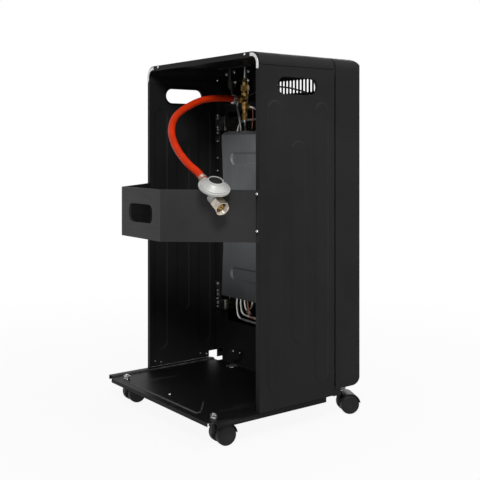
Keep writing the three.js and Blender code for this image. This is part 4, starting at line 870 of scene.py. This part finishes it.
def regulator_cover():
    """The cover's stepped dome, with a rolled rim round its cap."""
    bm = bmesh.new()
    top = COVER_HEIGHT
    rim = 15.0
    flange = beside(FLANGE_RADIUS, 0, (-0.5, 0), (0, 0.5), (0, 1.5), (-0.8, 2.1), (-2, 2.5), (-2.3, 1.7),
                    (-3.5, 2.1), (-3.6, 3.6), (-5.5, 5.1), (-9.5, 7.5))
    dome = beside(rim, 0, (3.4, 10.2), (1.2, 12.4), (0.4, 14.6), (0, top - 0.35), (-0.6, top))
    seat = beside(CAP_RADIUS, top, (0.8, 0), (0.35, -0.6), (0.3, -5))
    lathe(bm, [(0, 0), *flange, *dome, *seat, (0, top - 5)], REGULATOR, 72, 0.18)
    return stand_in("regulator_cover", bm, "cast_metal")


def regulator_cap():
    bm = bmesh.new()
    top = COVER_HEIGHT - 1
    edge = beside(CAP_RADIUS, top, (0, -3.7), (0, -0.6), (-0.7, 0), (-1.9, 0), (-2.3, -0.5))
    lathe(bm, [(0, top - 3.7), *edge, (5.2, top - 0.5), (4.9, top - 0.1), (0, top - 0.1)],
          REGULATOR, 56, 0.12)
    slab(bm, (-1.0, -4.2, top - 0.4), (1.0, 4.2, top + 0.1), REGULATOR, 0.2)
    return stand_in("regulator_cap", bm, "black_plastic")


def regulator_body():
    """The die-cast lower body: bowl, hose nozzle and inlet boss flowing into one another."""
    bm = bmesh.new()
    flange = beside(FLANGE_RADIUS, 0, (-0.6, -GAP), (0, -0.9), (-0.3, -2.8), (-3, -4.1), (-8, -5.6))
    lathe(bm, [(0, -GAP), *flange, (BOWL_RADIUS + 2, -8.2), (BOWL_RADIUS - 3, -11), (0, -11)], None, 64)
    neck = beside(NECK_RADIUS, 0, (1.6, -6), (1.4, -9.5), (0.4, -14), (0, -22), (-3.5, 0.6 - BOWL_HEIGHT))
    lathe(bm, [(0, -6), *neck, (0, -BOWL_HEIGHT)], Matrix.Translation((NECK_SHIFT, 0, 0)), 56)
    outlet = Matrix.Translation((0, 0, -OUTLET_DROP)) @ aimed((0, 0, 0), -AXIS_X)
    lathe(bm, [(0, -NECK_SHIFT), (7.5, -NECK_SHIFT), (7.5, BOWL_RADIUS + 9), (6.5, BOWL_RADIUS + 12),
               (6.5, OUTLET_REACH), (0, OUTLET_REACH)], outlet, 40)
    lathe(bm, [(0, 0), (11, 0), (10.2, BOWL_RADIUS), (8.6, INLET_REACH - 2), (8, INLET_REACH),
               (0, INLET_REACH)], inlet_axis(), 40)
    bmesh.ops.transform(bm, matrix=REGULATOR, verts=bm.verts)
    piece = stand_in("regulator_body", bm, "cast_metal")
    remesh = piece.modifiers.new("one_casting", "REMESH")
    remesh.mode = "VOXEL"
    remesh.voxel_size = 0.55 * MM
    fillet = piece.modifiers.new("fillets", "SMOOTH")
    fillet.factor = 0.5
    fillet.iterations = 4
    bpy.context.view_layer.update()
    shaped = piece.evaluated_get(bpy.context.evaluated_depsgraph_get())
    piece.data = bpy.data.meshes.new_from_object(shaped)
    piece.modifiers.clear()
    for face in piece.data.polygons:
        face.use_smooth = True
    return piece


def inlet_stem():
    bm = bmesh.new()
    start = INLET_REACH + GAP
    collar = start + 0.5 + 4 + GAP
    nose = beside(0, collar, (5, 0), (8, 0), (8, 4), (6, 9), (5.4, 9.6), (5.4, 10.3), (3.2, 11), (1.9, 11),
                  (1.6, 10.4), (1.6, 3), (0, 3))
    lathe(bm, [(0, start), (5, start), *nose], REGULATOR @ inlet_axis(), 40, 0.2)
    return stand_in("inlet_stem", bm, "brass")


def union_nut():
    """A chamfered hexagon nut with turned thread in its bore."""
    bm = bmesh.new()
    back = INLET_REACH + GAP + 0.5
    front = back + 21
    across = 26.0
    corner = across / 3 ** 0.5
    thread = []
    for i in range(10):
        height = back + 5.2 + i * 1.5
        thread += [(10.5, height), (11.1, height + 0.75)]
    profile = [(5.3, back), (corner - 1.5, back), (corner - 0.1, back + 0.9), (corner - 0.1, front - 0.9),
               (corner - 1.5, front), (11.9, front), (11.2, front - 0.8), *reversed(thread), (10.5, back + 4),
               (5.3, back + 4), (5.3, back)]
    lathe(bm, profile, REGULATOR @ inlet_axis(), 72, flats=6, across=across)
    piece = stand_in("union_nut", bm, "nickel", "nut")
    ease_edges(piece, 0.18 * MM)
    return piece


# ---------------------------------------------------------------- cabinet


def rib_steps(height, slope):
    """An S-shaped flank, drawn in by its slope and raised by its height."""
    eased = [(3 - 2 * i / RIB_STEPS) * (i / RIB_STEPS) ** 2 for i in range(RIB_STEPS + 1)]
    rises = [(after - before) * height for before, after in zip(eased, eased[1:])]
    return [(slope / RIB_STEPS, rise) for rise in rises]


def rounded_lip(radius, depth, count=4):
    """Rolls an edge over by a quarter circle and then straight down to the depth."""
    angles = [pi / 2 * i / count for i in range(count + 1)]
    steps = [(radius * (sin(b) - sin(a)), -radius * (cos(a) - cos(b))) for a, b in zip(angles, angles[1:])]
    return steps + [(0.02, radius - depth)]


def fold(bm, edges, centre, angle, flange):
    """Bends a border round a fold line and runs it on as a flange towards the middle."""
    ends = list({corner for edge in edges for corner in edge.verts})
    bent = bmesh.ops.spin(bm, geom=edges + ends, cent=centre, axis=(0, 0, 1), angle=radians(angle), steps=5)
    run = bmesh.ops.extrude_edge_only(bm, edges=only(bent["geom_last"], bmesh.types.BMEdge))["geom"]
    bmesh.ops.translate(bm, verts=only(run, bmesh.types.BMVert), vec=(-flange, 0, 0))


def side_panel(side):
    """A pressed side panel with three ribs, a rolled hand hole and folded front and rear borders."""
    bm = bmesh.new()
    wall = upright(HALF)
    rear = -PANEL_FOLD
    front = -PANEL_DEPTH + PANEL_FOLD
    foot = [(rear, PANEL_BOTTOM), (front, PANEL_BOTTOM)]
    if side > 0:
        step = -PANEL_DEPTH + NOTCH_DEPTH
        foot = [(rear, PANEL_BOTTOM), (step, PANEL_BOTTOM), (step, NOTCH_TOP), (front, NOTCH_TOP)]
    border = polygon(bm, foot + [(front, PANEL_TOP), (rear, PANEL_TOP)], wall)
    rib_width = RIB_WIDTH + RIB_SLOPE
    ribs = []
    for y, low, high in RIBS:
        place = wall @ Matrix.Translation((y, (low + high) / 2, 0))
        ribs.append(outline(bm, rib_width, high - low + RIB_SLOPE, rib_width / 2, place, 40))
    grow = 2 * HAND_HOLE_ROUND
    hand = outline(bm, HAND_HOLE_LENGTH + grow, HAND_HOLE_HEIGHT + grow, (HAND_HOLE_HEIGHT + grow) / 2,
                   wall @ Matrix.Translation((HAND_HOLE_Y, HAND_HOLE_Z, 0)), 48)
    rims = border + [edge for ring in ribs for edge in ring] + hand
    bmesh.ops.triangle_fill(bm, use_beauty=True, edges=rims, normal=(1, 0, 0))
    for ring in ribs:
        press(bm, ring, AXIS_X, rib_steps(RIB_HEIGHT, RIB_SLOPE))
    hole = press(bm, hand, AXIS_X, rounded_lip(HAND_HOLE_ROUND, HAND_HOLE_LIP))
    bmesh.ops.delete(bm, geom=[hole], context="FACES_ONLY")

    def border_at(y):
        return [edge for edge in open_edges(bm)
                if all(abs(corner.co.y - y) < 0.01 for corner in edge.verts)]

    inner = HALF - PANEL_FOLD
    fold(bm, border_at(rear), (inner, rear, 0), 90, PANEL_FLANGE - PANEL_FOLD)
    fold(bm, border_at(front), (inner, front, 0), -90, PANEL_FLANGE - PANEL_FOLD)
    bmesh.ops.transform(bm, matrix=Matrix.Diagonal((side, 1, 1, 1)), verts=bm.verts)
    close_skin(bm, AXIS_X * side)
    piece = stand_in(f"side_panel_{SIDE_NAMES[side]}", bm, "black_paint")
    thicken(piece)
    ease_edges(piece, settings("sheet").edge)


def splice_strip(side):
    """The strip inside a panel's top edge that the cover's skirt drops over."""
    bm = bmesh.new()
    outer = HALF - SHEET - 0.1
    slab(bm, (outer - SHEET, -PANEL_DEPTH - 6, PANEL_TOP - 11), (outer, -3, PANEL_TOP + 4.5),
         Matrix.Diagonal((side, 1, 1, 1)), 0.2)
    make(f"splice_strip_{SIDE_NAMES[side]}", bm, "black_paint")


def shield_half(bm, rim_z, band_z):
    """One slanting half of the shield's face, with an obround band pressed into it."""
    foot = Vector((0, SHIELD_CREASE_Y, SHIELD_CREASE))
    rise = Vector((0, SHIELD_RIM_Y, rim_z)) - foot
    up = rise.normalized()
    across = AXIS_X * (1 if rise.z < 0 else -1)
    outward = across.cross(up)
    face = Matrix.Translation(foot) @ Matrix((across, up, outward)).transposed().to_4x4()
    corners = [(-SHIELD_HALF, 0), (SHIELD_HALF, 0), (SHIELD_HALF, rise.length), (-SHIELD_HALF, rise.length)]
    rim = polygon(bm, corners, face)
    band = outline(bm, 2 * SHIELD_BAND_HALF, SHIELD_BAND_HEIGHT, SHIELD_BAND_HEIGHT / 2,
                   face @ Matrix.Translation((0, abs(band_z - SHIELD_CREASE), 0)), 48)
    bmesh.ops.triangle_fill(bm, use_beauty=True, edges=rim + band, normal=outward)
    press(bm, band, outward, rib_steps(-SHIELD_BAND_DEPTH, 6.0))


def heat_shield():
    """The bare steel shield, folded back to the divider all round."""
    bm = bmesh.new()
    shield_half(bm, SHIELD_TOP, SHIELD_BAND_LEVELS[1])
    shield_half(bm, SHIELD_BOTTOM, SHIELD_BAND_LEVELS[0])
    close_skin(bm, AXIS_Y)
    run = bmesh.ops.extrude_edge_only(bm, edges=open_edges(bm))["geom"]
    for corner in only(run, bmesh.types.BMVert):
        corner.co.y = SHIELD_BACK_Y
        if corner.co.z > SHIELD_TOP - 1:
            corner.co.z += SHIELD_LEAN
        if corner.co.z < SHIELD_BOTTOM + 1:
            corner.co.z -= SHIELD_LEAN / 3
    piece = stand_in("heat_shield", bm, "shield_steel")
    thicken(piece)
    ease_edges(piece, 0.8 * MM)


def foot_tabs():
    """Small tabs at the front shell's lower rear corners, which the side panels are screwed to."""
    bm = bmesh.new()
    for side in (-1, 1):
        slab(bm, (HALF - 4.2, -PANEL_DEPTH - 20, PLATE_TOP + 0.5), (HALF - 3.0, -PANEL_DEPTH + 2, 73),
             Matrix.Diagonal((side, 1, 1, 1)), 0.3)
    make("foot_tabs", bm, "black_paint")


PANEL_SCREWS = ((-20.9, 66.9), (-36.6, 63), (-147.8, 66.7), (-164.9, 63), (-161, PANEL_TOP - 4))
POST_SCREW_LEVELS = (643, 614, 600, 580, 540, 509, 235.5, 219, 200, 180.5)
POST_CLIP_SPANS = ((632, 640), (605, 611), (206, 214), (186, 194))
BRACKET_NUTS = ((96, 734), (65, 737), (12.7, 735), (61.3, 713.6), (13, 715))


def small_screws():
    """The plated screws that hold the cabinet together."""
    bm = bmesh.new()
    wall = HALF - SHEET - 0.05
    for side in (-1, 1):
        pan_screw(bm, (side * 162.5, 0, 747.2), AXIS_Y, 2.6, 1.5)
        pan_screw(bm, (side * 204.2, 0, 718.6), AXIS_Y, 2.8, 1.6)
        for y, z in PANEL_SCREWS:
            pan_screw(bm, (side * wall, y, z), (-side, 0, 0), 2.3, 1.5)
        for z in POST_SCREW_LEVELS:
            pan_screw(bm, (side * 184, EAR_FACE_Y + SHEET / 2, z), AXIS_Y, 2.9, 2.2)
        for low, high in POST_CLIP_SPANS:
            slab(bm, (side * 181, EAR_FACE_Y, low), (side * 187, EAR_FACE_Y + 2.6, high), None, 0.5)
    for x, z in BRACKET_NUTS:
        lathe(bm, [(0, 0), (3.4, 0), (3.4, 3), (2.6, 3.6), (1.6, 3.6), (1.6, 5), (0, 5)],
              aimed((x, -146, z), AXIS_Y), 24, flats=6, across=6.0)
    pan_screw(bm, (4.4, 67.7, PLATE_TOP + EMBOSS_HEIGHT), AXIS_Z, 2.8, 1.6)
    middle = (SWITCH_LOW + SWITCH_HIGH) / 2
    lathe(bm, [(0, 0), (13, 0), (13.5, 0.6), (13, 1.2), (9, 1.6), (0, 1.6)],
          Matrix.Translation((middle.x + 3, SWITCH_HIGH.y + 9, PLATE_TOP + 0.1)), 40)
    for x in (SWITCH_LOW.x + 2, SWITCH_HIGH.x - 2):
        pan_screw(bm, (x, SWITCH_HIGH.y, middle.z + 6), AXIS_Y, 2.2, 1.4)
    make("small_screws", bm, "zinc_steel")


def retainer_studs():
    """Shouldered studs on the rear flanges, which the retainer's keyholes hang on."""
    bm = bmesh.new()
    for side in (-1, 1):
        for level in STUD_LEVELS:
            foot = (side * STUD_X, -SHEET / 2, level)
            rod(bm, 1.5, SHEET + 2 * GAP + 0.7, aimed(foot, AXIS_Y), 20)
            pan_screw(bm, (side * STUD_X, SHEET + 2 * GAP, level), AXIS_Y)
    make("retainer_studs", bm, "zinc_steel")


# ---------------------------------------------------------------- burner, controls and gas train


def guard_grille():
    """Plated wires spot-welded across flat stays."""
    bm = bmesh.new()
    rows = int((GUARD_TOP - GUARD_BOTTOM - 8) // GUARD_PITCH)
    first = (GUARD_TOP + GUARD_BOTTOM - rows * GUARD_PITCH) / 2
    for i in range(rows + 1):
        rod(bm, GUARD_WIRE, 2 * GUARD_REACH, aimed((-GUARD_REACH, GUARD_Y, first + i * GUARD_PITCH), AXIS_X),
            14, 0.3)
    front = GUARD_Y + GUARD_WIRE * 0.6
    back = front + GUARD_WIRE
    for share in (-1, -1 / 3, 1 / 3, 1):
        x = share * GUARD_REACH
        slab(bm, (x - GUARD_STAY, front, GUARD_BOTTOM), (x + GUARD_STAY, back, GUARD_TOP), None, 0.3)
    for level in (GUARD_BOTTOM, GUARD_TOP):
        slab(bm, (-GUARD_REACH - GUARD_STAY, front, level - GUARD_STAY),
             (GUARD_REACH + GUARD_STAY, back, level + GUARD_STAY), None, 0.3)
    stand_in("guard_grille", bm, "guard_steel")


def control_knob():
    """A fluted knob on a skirt, with a raised pointer."""
    bm = bmesh.new()
    foot = KNOB_FOOT
    top = foot + KNOB_HEIGHT
    skirt = beside(KNOB_RADIUS, foot, (0, 0), (0, 1.8), (-1.6, 3))
    grip = beside(KNOB_GRIP, foot, (0.6, 3.8), (-0.2, 5.5), (-0.4, 9), (-0.7, 13), (-1.1, KNOB_HEIGHT - 2),
                  (-2.4, KNOB_HEIGHT - 0.2), (-4, KNOB_HEIGHT))
    bore = beside(KNOB_BORE, foot, (-KNOB_BORE, 12), (0, 12), (0, 0))
    lathe(bm, [(KNOB_BORE, foot), *skirt, *grip, (7, top - 0.7), (0, top - 0.8), *bore], None, 120, 0.25)
    for corner in bm.verts:
        flat = Vector((corner.co.x, corner.co.y, 0))
        rise = corner.co.z - foot - KNOB_FLUTE_START
        if flat.length > KNOB_FLUTE_INNER and rise > 0:
            groove = max(0.0, cos(KNOB_FLUTES * AXIS_X.angle(flat))) ** 2
            corner.co -= flat.normalized() * KNOB_FLUTE_DEPTH * groove * min(1.0, rise / 3)
    slab(bm, (-1.1, 3, top - 1.2), (1.1, KNOB_GRIP - 1, top), None, 0.4)
    bmesh.ops.translate(bm, verts=bm.verts, vec=(VALVE_X, VALVE_Y, 0))
    stand_in("control_knob", bm, "black_plastic", "knob")


def piezo_igniter():
    bm = bmesh.new()
    collar = beside(0, PANEL_FACE, (9, GAP), (12, GAP), (12, 1.5), (11, 2.4), (7.9, 2.4), (7.3, 1.9),
                    (7.3, -11), (0, -11))
    lathe(bm, [(0, 700), (6, 700), (8, 708), (9, 709), *collar],
          Matrix.Translation((IGNITER_X, VALVE_Y, 0)), 48, 0.2)
    stand_in("piezo_igniter", bm, "black_plastic")


def igniter_button():
    bm = bmesh.new()
    crown = beside(0, PANEL_FACE + 7.4, (7, -1.6), (6.4, -0.4), (5.4, 0), (4.2, -0.15), (0, -0.7))
    lathe(bm, [(0, PANEL_FACE - 4), (7, PANEL_FACE - 4), *crown],
          Matrix.Translation((IGNITER_X, VALVE_Y, 0)), 48, 0.15)
    stand_in("igniter_button", bm, "black_plastic", "button")


def gas_valve():
    """The brass valve: turned body, hexagon bonnet, stepped hose nozzle and flare nuts."""
    bm = bmesh.new()
    lathe(bm, [(0, 634), (5, 634), (5.5, 635), (5.5, 649), (7.4, 651.5), (8, 653), (8, 661), (7, 662.5),
               (7, 684), (8, 685.5), (8, 690), (7, 692), (7, 715), (6.6, 715.7), (5.2, 715.7), (5.2, 722.6),
               (4.8, 723.2), (3.4, 723.2), (3.3, 722), (3.3, 718.7), (0, 718.7)], None, 48, 0.25)
    lathe(bm, [(0, 694), (9, 694), (9.8, 695), (9.8, 705.7), (9, 706.7), (0, 706.7)], None, 48,
          flats=6, across=16.6)
    lathe(bm, [(0, 636), (7.2, 636), (7.9, 636.8), (7.9, 643.2), (7.2, 644), (0, 644)], None, 48,
          flats=6, across=13.4)
    nozzle = Matrix.Translation((0, 0, VALVE_INLET_Z)) @ aimed((0, 0, 0), AXIS_Y)
    lathe(bm, [(0, 0), (8.5, 0), (8.5, 15.8), (8, 16.7), (6.5, 17.2), (6.5, 24.7), (0, 24.7)],
          nozzle, 40, 0.2)
    flares = (((0, 0, 672), AXIS_X), ((0, 0, 657), -AXIS_X), ((0, 0, 645), -AXIS_Z))
    for place, direction in flares:
        reach = 18 if direction != -AXIS_Z else 17
        lathe(bm, [(0, 0), (5, 0), (5, reach), (0, reach)], aimed(place, direction), 24)
        lathe(bm, [(0, reach - 5.6), (6, reach - 5.6), (6.4, reach - 5.1), (6.4, reach - 0.9),
                   (5.9, reach - 0.2), (3.2, reach - 0.2), (0, reach - 0.2)], aimed(place, direction), 24,
              flats=6, across=11)
    bmesh.ops.translate(bm, verts=bm.verts, vec=(VALVE_X, VALVE_Y, 0))
    stand_in("gas_valve", bm, "brass")


PIPE_RADIUS, PILOT_RADIUS, LEAD_RADIUS = 3.0, 1.6, 1.8
PIPE_DEPTH = -203.0
PIPE_COLUMNS = (102, 117, 132)
PIPE_RUNS = (178, 168, 157)
PIPE_STARTS = (
    [(53, -165, 627.4), (53, -165, 624), (62, -172, 618), (80, -188, 616), (94, -200, 613)],
    [(71.6, -165, 672), (76, -165, 672), (87, -169, 662), (108, -190, 636)],
    [(34.4, -165, 657), (30, -165, 657), (24, -174, 652), (28, -190, 640), (50, -202, 632),
     (100, -203, 628), (122, -203, 622)],
)


def gas_pipe_route(i):
    """From the valve down behind the shield, across under the burners and up into one bell."""
    column, run, target = PIPE_COLUMNS[i], PIPE_RUNS[i], BURNER_X[2 - i]
    back = copysign(1, column - target)
    drop = [(column, PIPE_DEPTH, z) for z in (600, 500, 350, 220, run + 14)]
    hook = [
        (column - back * 5, PIPE_DEPTH - 1, run + 4),
        (column - back * 16, PIPE_DEPTH - 3, run),
        (target + back * 18, BURNER_Y + GAP, run),
        (target + back * 5, BURNER_Y + GAP, run + 5),
        (target, BURNER_Y + GAP, run + 16),
        (target, BURNER_Y + GAP, BELL_MOUTH),
    ]
    return PIPE_STARTS[i] + drop + hook


PILOT_ROUTE = [
    (53, -177.3, 662), (53, -181, 662), (56, -189, 652), (61, -194, 632), (67, -197, 616), (76, -203, 600),
    (86, -205, 578), (88, -204, 550), (88, -201, 450), (88, -201, 300), (88, -201, 190), (82, -201, 170),
    (66, -201, 166), (0, -201, 166), (-28, -205, 168), (-43, -213, 176), (-48, -224, 200),
    (-48, -224, 240), (-48, -224, 275.7),
]

LEAD_ROUTE = [
    (104, -165, 699.7), (103, -166, 690), (90, -192, 684), (60, -204, 694), (20, -206, 703),
    (-30, -206, 700), (-80, -206, 691), (-122, -206, 677), (-146, -206, 650), (-150, -206, 600),
    (-150, -206, 480), (-150, -206, 340), (-146, -206, 262), (-122, -206, 240), (-90, -206, 236),
    (-72, -212, 238), (-62, -222, 246), (-60, -224, 260), (-60, -224, 269.7),
]


# ---------------------------------------------------------------- casters


def caster_place(i):
    x, y, swing = CASTERS[i]
    return Matrix.Translation((x, y, 0)) @ Matrix.Rotation(radians(swing), 4, "Z")


def caster_piece(i, part, bm, slot, body="cabinet"):
    """Sets a part drawn round the stem's axis into its caster."""
    bmesh.ops.transform(bm, matrix=caster_place(i), verts=bm.verts)
    stand_in(f"caster_{i + 1}_{part}", bm, slot, body)


def caster_wheel(i, side):
    """A grooved tread and a domed, ringed outer face."""
    bm = bmesh.new()
    inside = WHEEL_SPAN / 2 - WHEEL_WIDTH
    outside = WHEEL_SPAN / 2
    tread = beside(WHEEL_RADIUS, inside, (-2.2, 0), (-0.7, 0.5), (0, 1.8), (0, 5.2), (-0.5, 5.6),
                   (-0.5, 6.4), (0, 6.8))
    face = beside(WHEEL_RADIUS, outside, (0, -2.6), (-0.5, -1.2), (-1.9, -0.5), (-2.6, -0.9), (-3.1, -0.9),
                  (-3.8, -0.35), (-8, -0.1))
    boss = beside(0, outside, (4.6, 0), (4.0, -0.5), (0, -0.6), (0, -4.3), (2.9, -4.3))
    hub = Matrix.Translation((0, -WHEEL_TRAIL, WHEEL_RADIUS)) @ aimed((0, 0, 0), AXIS_X * side)
    lathe(bm, [(2.9, inside), *tread, *face, *boss, (2.9, inside)], hub, 64, 0.15)
    letter = "a" if side > 0 else "b"
    caster_piece(i, f"wheel_{letter}", bm, "black_plastic", f"wheel_{i + 1}{letter}")


def caster_hood(i):
    """A band over both wheels, a web between them and the stem's socket."""
    bm = bmesh.new()
    half = WHEEL_SPAN / 2
    inner = HOOD_RADIUS - HOOD_SHEET
    web = half - WHEEL_WIDTH - GAP
    band = bmesh.new()
    section = [(inner, half), (HOOD_RADIUS - 0.5, half), (HOOD_RADIUS, half - 0.7), (HOOD_RADIUS, 0.7 - half),
               (HOOD_RADIUS - 0.5, -half), (inner, -half)]
    corners = [band.verts.new((0, radius, x)) for radius, x in section]
    face = band.faces.new(corners)
    start, end = radians(28), radians(172)
    bmesh.ops.rotate(band, verts=corners, cent=(0, 0, 0), matrix=Matrix.Rotation(start - pi / 2, 3, "Z"))
    bmesh.ops.spin(band, geom=[face, *face.edges, *corners], cent=(0, 0, 0), axis=(0, 0, 1),
                   angle=end - start, steps=28)
    bmesh.ops.recalc_face_normals(band, faces=band.faces)
    axle = Matrix.Translation((0, -WHEEL_TRAIL, WHEEL_RADIUS)) @ upright(0)
    merge_into(bm, band, axle)
    lathe(bm, [(0, -web), (inner + 0.4, -web), (inner + 0.4, web), (0, web)], axle, 64, 0.3)
    for corner in bm.verts:
        local = Vector((corner.co.y + WHEEL_TRAIL, corner.co.z - WHEEL_RADIUS))
        trimmed_side = local.y < local.x * 0.4 - 2
        if abs(corner.co.x) < web + 0.01 and local.length > HOOD_WEB_RADIUS and trimmed_side:
            trimmed = local.normalized() * HOOD_WEB_RADIUS
            corner.co.y, corner.co.z = trimmed.x - WHEEL_TRAIL, trimmed.y + WHEEL_RADIUS
    lathe(bm, [(4.3, 21), (6.2, 21), (6.2, 46.4), (5.6, 46.9), (4.3, 46.9), (4.3, 21)], None, 36, 0.2)
    caster_piece(i, "hood", bm, "black_plastic", f"swivel_{i + 1}")


def caster_stem(i):
    """The stem, its collar, and the hexagon nut and washer above the floor plate."""
    bm = bmesh.new()
    under = PLATE_TOP - 1.5
    over = PLATE_TOP + GAP
    collar = beside(0, under, (4, -2.8), (7.6, -2.8), (8, -2.4), (8, -0.7), (7.6, -0.3), (4, -0.3))
    lathe(bm, [(0, 25), (4, 25), *collar, (4, over + 8), (3.4, over + 8.5), (0, over + 8.5)], None, 36)
    bore = 4.05
    nut = over + 0.9
    lathe(bm, [(bore, over), (7.4, over), (7.4, nut), (bore, nut), (bore, over)], None, 36, 0.15)
    lathe(bm, [(bore, nut), (6.8, nut), (7.3, nut + 0.5), (7.3, nut + 4.1), (6.8, nut + 4.6),
               (bore, nut + 4.6), (bore, nut)], None, 48, flats=6, across=12.8)
    caster_piece(i, "stem", bm, "zinc_steel")


def caster_axle(i):
    bm = bmesh.new()
    reach = WHEEL_SPAN / 2 - 4
    rod(bm, 2.5, 2 * reach, aimed((-reach, -WHEEL_TRAIL, WHEEL_RADIUS), AXIS_X), 24, 0.2)
    caster_piece(i, "axle", bm, "zinc_steel", f"swivel_{i + 1}")


# ---------------------------------------------------------------- operators


class HEATER_OT_stage(bpy.types.Operator):
    """Sets up the camera, the lamps and the pale floor"""

    bl_idname = "heater.stage"
    bl_label = "Camera, lamps and floor"

    def execute(self, context):
        context.scene.view_settings.view_transform = "Standard"
        studio = settings("studio")
        add_camera()
        add_world()
        for name, (place, target, size) in LAMPS.items():
            add_lamp(f"{name}_lamp", place, target, size, getattr(studio, name))
        add_floor()
        return {"FINISHED"}


class HEATER_OT_hose(bpy.types.Operator):
    """Makes the gas hose and its two clamps"""

    bl_idname = "heater.hose"
    bl_label = "Gas hose and clamps"

    def execute(self, context):
        hose = settings("hose")
        smooth_tube("gas_hose", hose_route(), hose.diameter / MM / 2, "orange_rubber", 10)
        start = Matrix.Translation((HOSE_START[0], HOSE_START[1] + 2.3, HOSE_START[2]))
        hose_clamp(start @ Matrix.Rotation(-pi / 2, 4, "X"))
        hose_ferrule()
        return {"FINISHED"}


class HEATER_OT_regulator(bpy.types.Operator):
    """Makes the regulator, its inlet stem and the union nut"""

    bl_idname = "heater.regulator"
    bl_label = "Regulator"

    def execute(self, context):
        pieces = [regulator_cover(), regulator_cap(), regulator_body(), inlet_stem(), union_nut()]
        hose = settings("hose")
        return {"FINISHED"}


class HEATER_OT_side_panels(bpy.types.Operator):
    """Presses both side panels and sets the retainer's studs"""

    bl_idname = "heater.side_panels"
    bl_label = "Side panels"

    def execute(self, context):
        for side in (-1, 1):
            side_panel(side)
            splice_strip(side)
        retainer_studs()
        return {"FINISHED"}


class HEATER_OT_cabinet(bpy.types.Operator):
    """Finishes the cover, front shell, floor plate, divider, shield and corner brackets"""

    bl_idname = "heater.cabinet"
    bl_label = "Cabinet"

    def execute(self, context):
        for node in ("top_cover", "front_shell", "divider_panel", "valve_bracket"):
            finish_sheet(node, "black_paint")
        # the floor plate's dark coat is painted shade; its scuffs are wear
        plate = finish_sheet("base_plate", "black_paint", crisp=12, finish="worn_enamel")
        # the emboss's flanks get the painted highlight
        second_finish(plate, "rubbed_coat",
                      lambda face: 0.1 < face.center.z / MM - PLATE_TOP < EMBOSS_HEIGHT - 0.1)
        heat_shield()
        foot_tabs()
        small_screws()
        for node in ("corner_bracket_left", "corner_bracket_right"):
            finish_sheet(node, "zinc_steel", 0.25 * MM)
        # the retainer's coat is painted lighter as a painted sheen
        finish_sheet("bottle_retainer", "black_paint", 0.45 * MM, "retainer", finish="satin_coat")
        return {"FINISHED"}


class HEATER_OT_burner(bpy.types.Operator):
    """Finishes the reflector, burners, plaques, pilot and wire guard"""

    bl_idname = "heater.burner"
    bl_label = "Burner"

    def execute(self, context):
        reflector = finish_sheet("burner_reflector", "reflector_steel")
        # the reflector's sides beyond the ears are painted dark as painted shade
        second_finish(reflector, "sooted_steel", lambda face: abs(face.center.x) > EAR_INNER * MM)
        for i in (1, 2, 3):
            finish_sheet(f"burner_body_{i}", "zinc_steel", 0.5 * MM)
            finish_sheet(f"ceramic_plaque_{i}", "ceramic", 0.4 * MM)
        finish_sheet("pilot_burner", "zinc_steel", 0.2 * MM)
        guard_grille()
        return {"FINISHED"}


class HEATER_OT_controls(bpy.types.Operator):
    """Makes the control panel, knob, igniter and spindle"""

    bl_idname = "heater.controls"
    bl_label = "Controls"

    def execute(self, context):
        finish_sheet("control_panel", "black_plastic", 0.3 * MM)
        finish_sheet("valve_spindle", "zinc_steel", 0.15 * MM, "spindle")
        control_knob()
        piezo_igniter()
        igniter_button()
        return {"FINISHED"}


class HEATER_OT_gas_train(bpy.types.Operator):
    """Makes the gas valve, pipes, ignition lead and tilt switch"""

    bl_idname = "heater.gas_train"
    bl_label = "Gas train"

    def execute(self, context):
        gas_valve()
        for i in range(3):
            smooth_tube(f"gas_pipe_{i + 1}", gas_pipe_route(i), PIPE_RADIUS, "aluminium")
        smooth_tube("pilot_pipe", PILOT_ROUTE, PILOT_RADIUS, "copper", 4)
        smooth_tube("ignition_lead", LEAD_ROUTE, LEAD_RADIUS, "lead_jacket", 4)
        finish_sheet("tilt_switch", "black_plastic", 0.3 * MM)
        return {"FINISHED"}


class HEATER_OT_casters(bpy.types.Operator):
    """Makes the four twin-wheel casters"""

    bl_idname = "heater.casters"
    bl_label = "Casters"

    def execute(self, context):
        for i in range(len(CASTERS)):
            for part in (caster_stem, caster_hood, caster_axle):
                part(i)
            for side in (1, -1):
                caster_wheel(i, side)
        return {"FINISHED"}


MAKERS = (HEATER_OT_stage, HEATER_OT_hose, HEATER_OT_regulator, HEATER_OT_side_panels, HEATER_OT_cabinet,
          HEATER_OT_burner, HEATER_OT_controls, HEATER_OT_gas_train, HEATER_OT_casters)
GROUPS = {"paint": HeaterPaint, "sheet": HeaterSheet, "hose": HeaterHose, "studio": HeaterStudio}


class HEATER_PT_sidebar(bpy.types.Panel):
    """Lists the heater's settings and the operators that make its pieces"""

    bl_label = "Gas cabinet heater"
    bl_idname = "HEATER_PT_sidebar"
    bl_space_type = "VIEW_3D"
    bl_region_type = "UI"
    bl_category = "Heater"

    def draw(self, context):
        for name, group in GROUPS.items():
            box = self.layout.box()
            box.label(text=name.capitalize())
            for key in group.__annotations__:
                box.prop(settings(name), key)
        for maker in MAKERS:
            self.layout.operator(maker.bl_idname)


def register():
    for name, group in GROUPS.items():
        bpy.utils.register_class(group)
        setattr(bpy.types.Scene, f"heater_{name}", PointerProperty(type=group))
    for each in (*MAKERS, HEATER_PT_sidebar):
        bpy.utils.register_class(each)


def unregister():
    for each in reversed((*MAKERS, HEATER_PT_sidebar)):
        bpy.utils.unregister_class(each)
    for name, group in reversed(GROUPS.items()):
        delattr(bpy.types.Scene, f"heater_{name}")
        bpy.utils.unregister_class(group)


def main():
    register()
    for maker in MAKERS:
        getattr(bpy.ops.heater, maker.bl_idname.split(".")[1])()


if __name__ == "__main__":
    main()
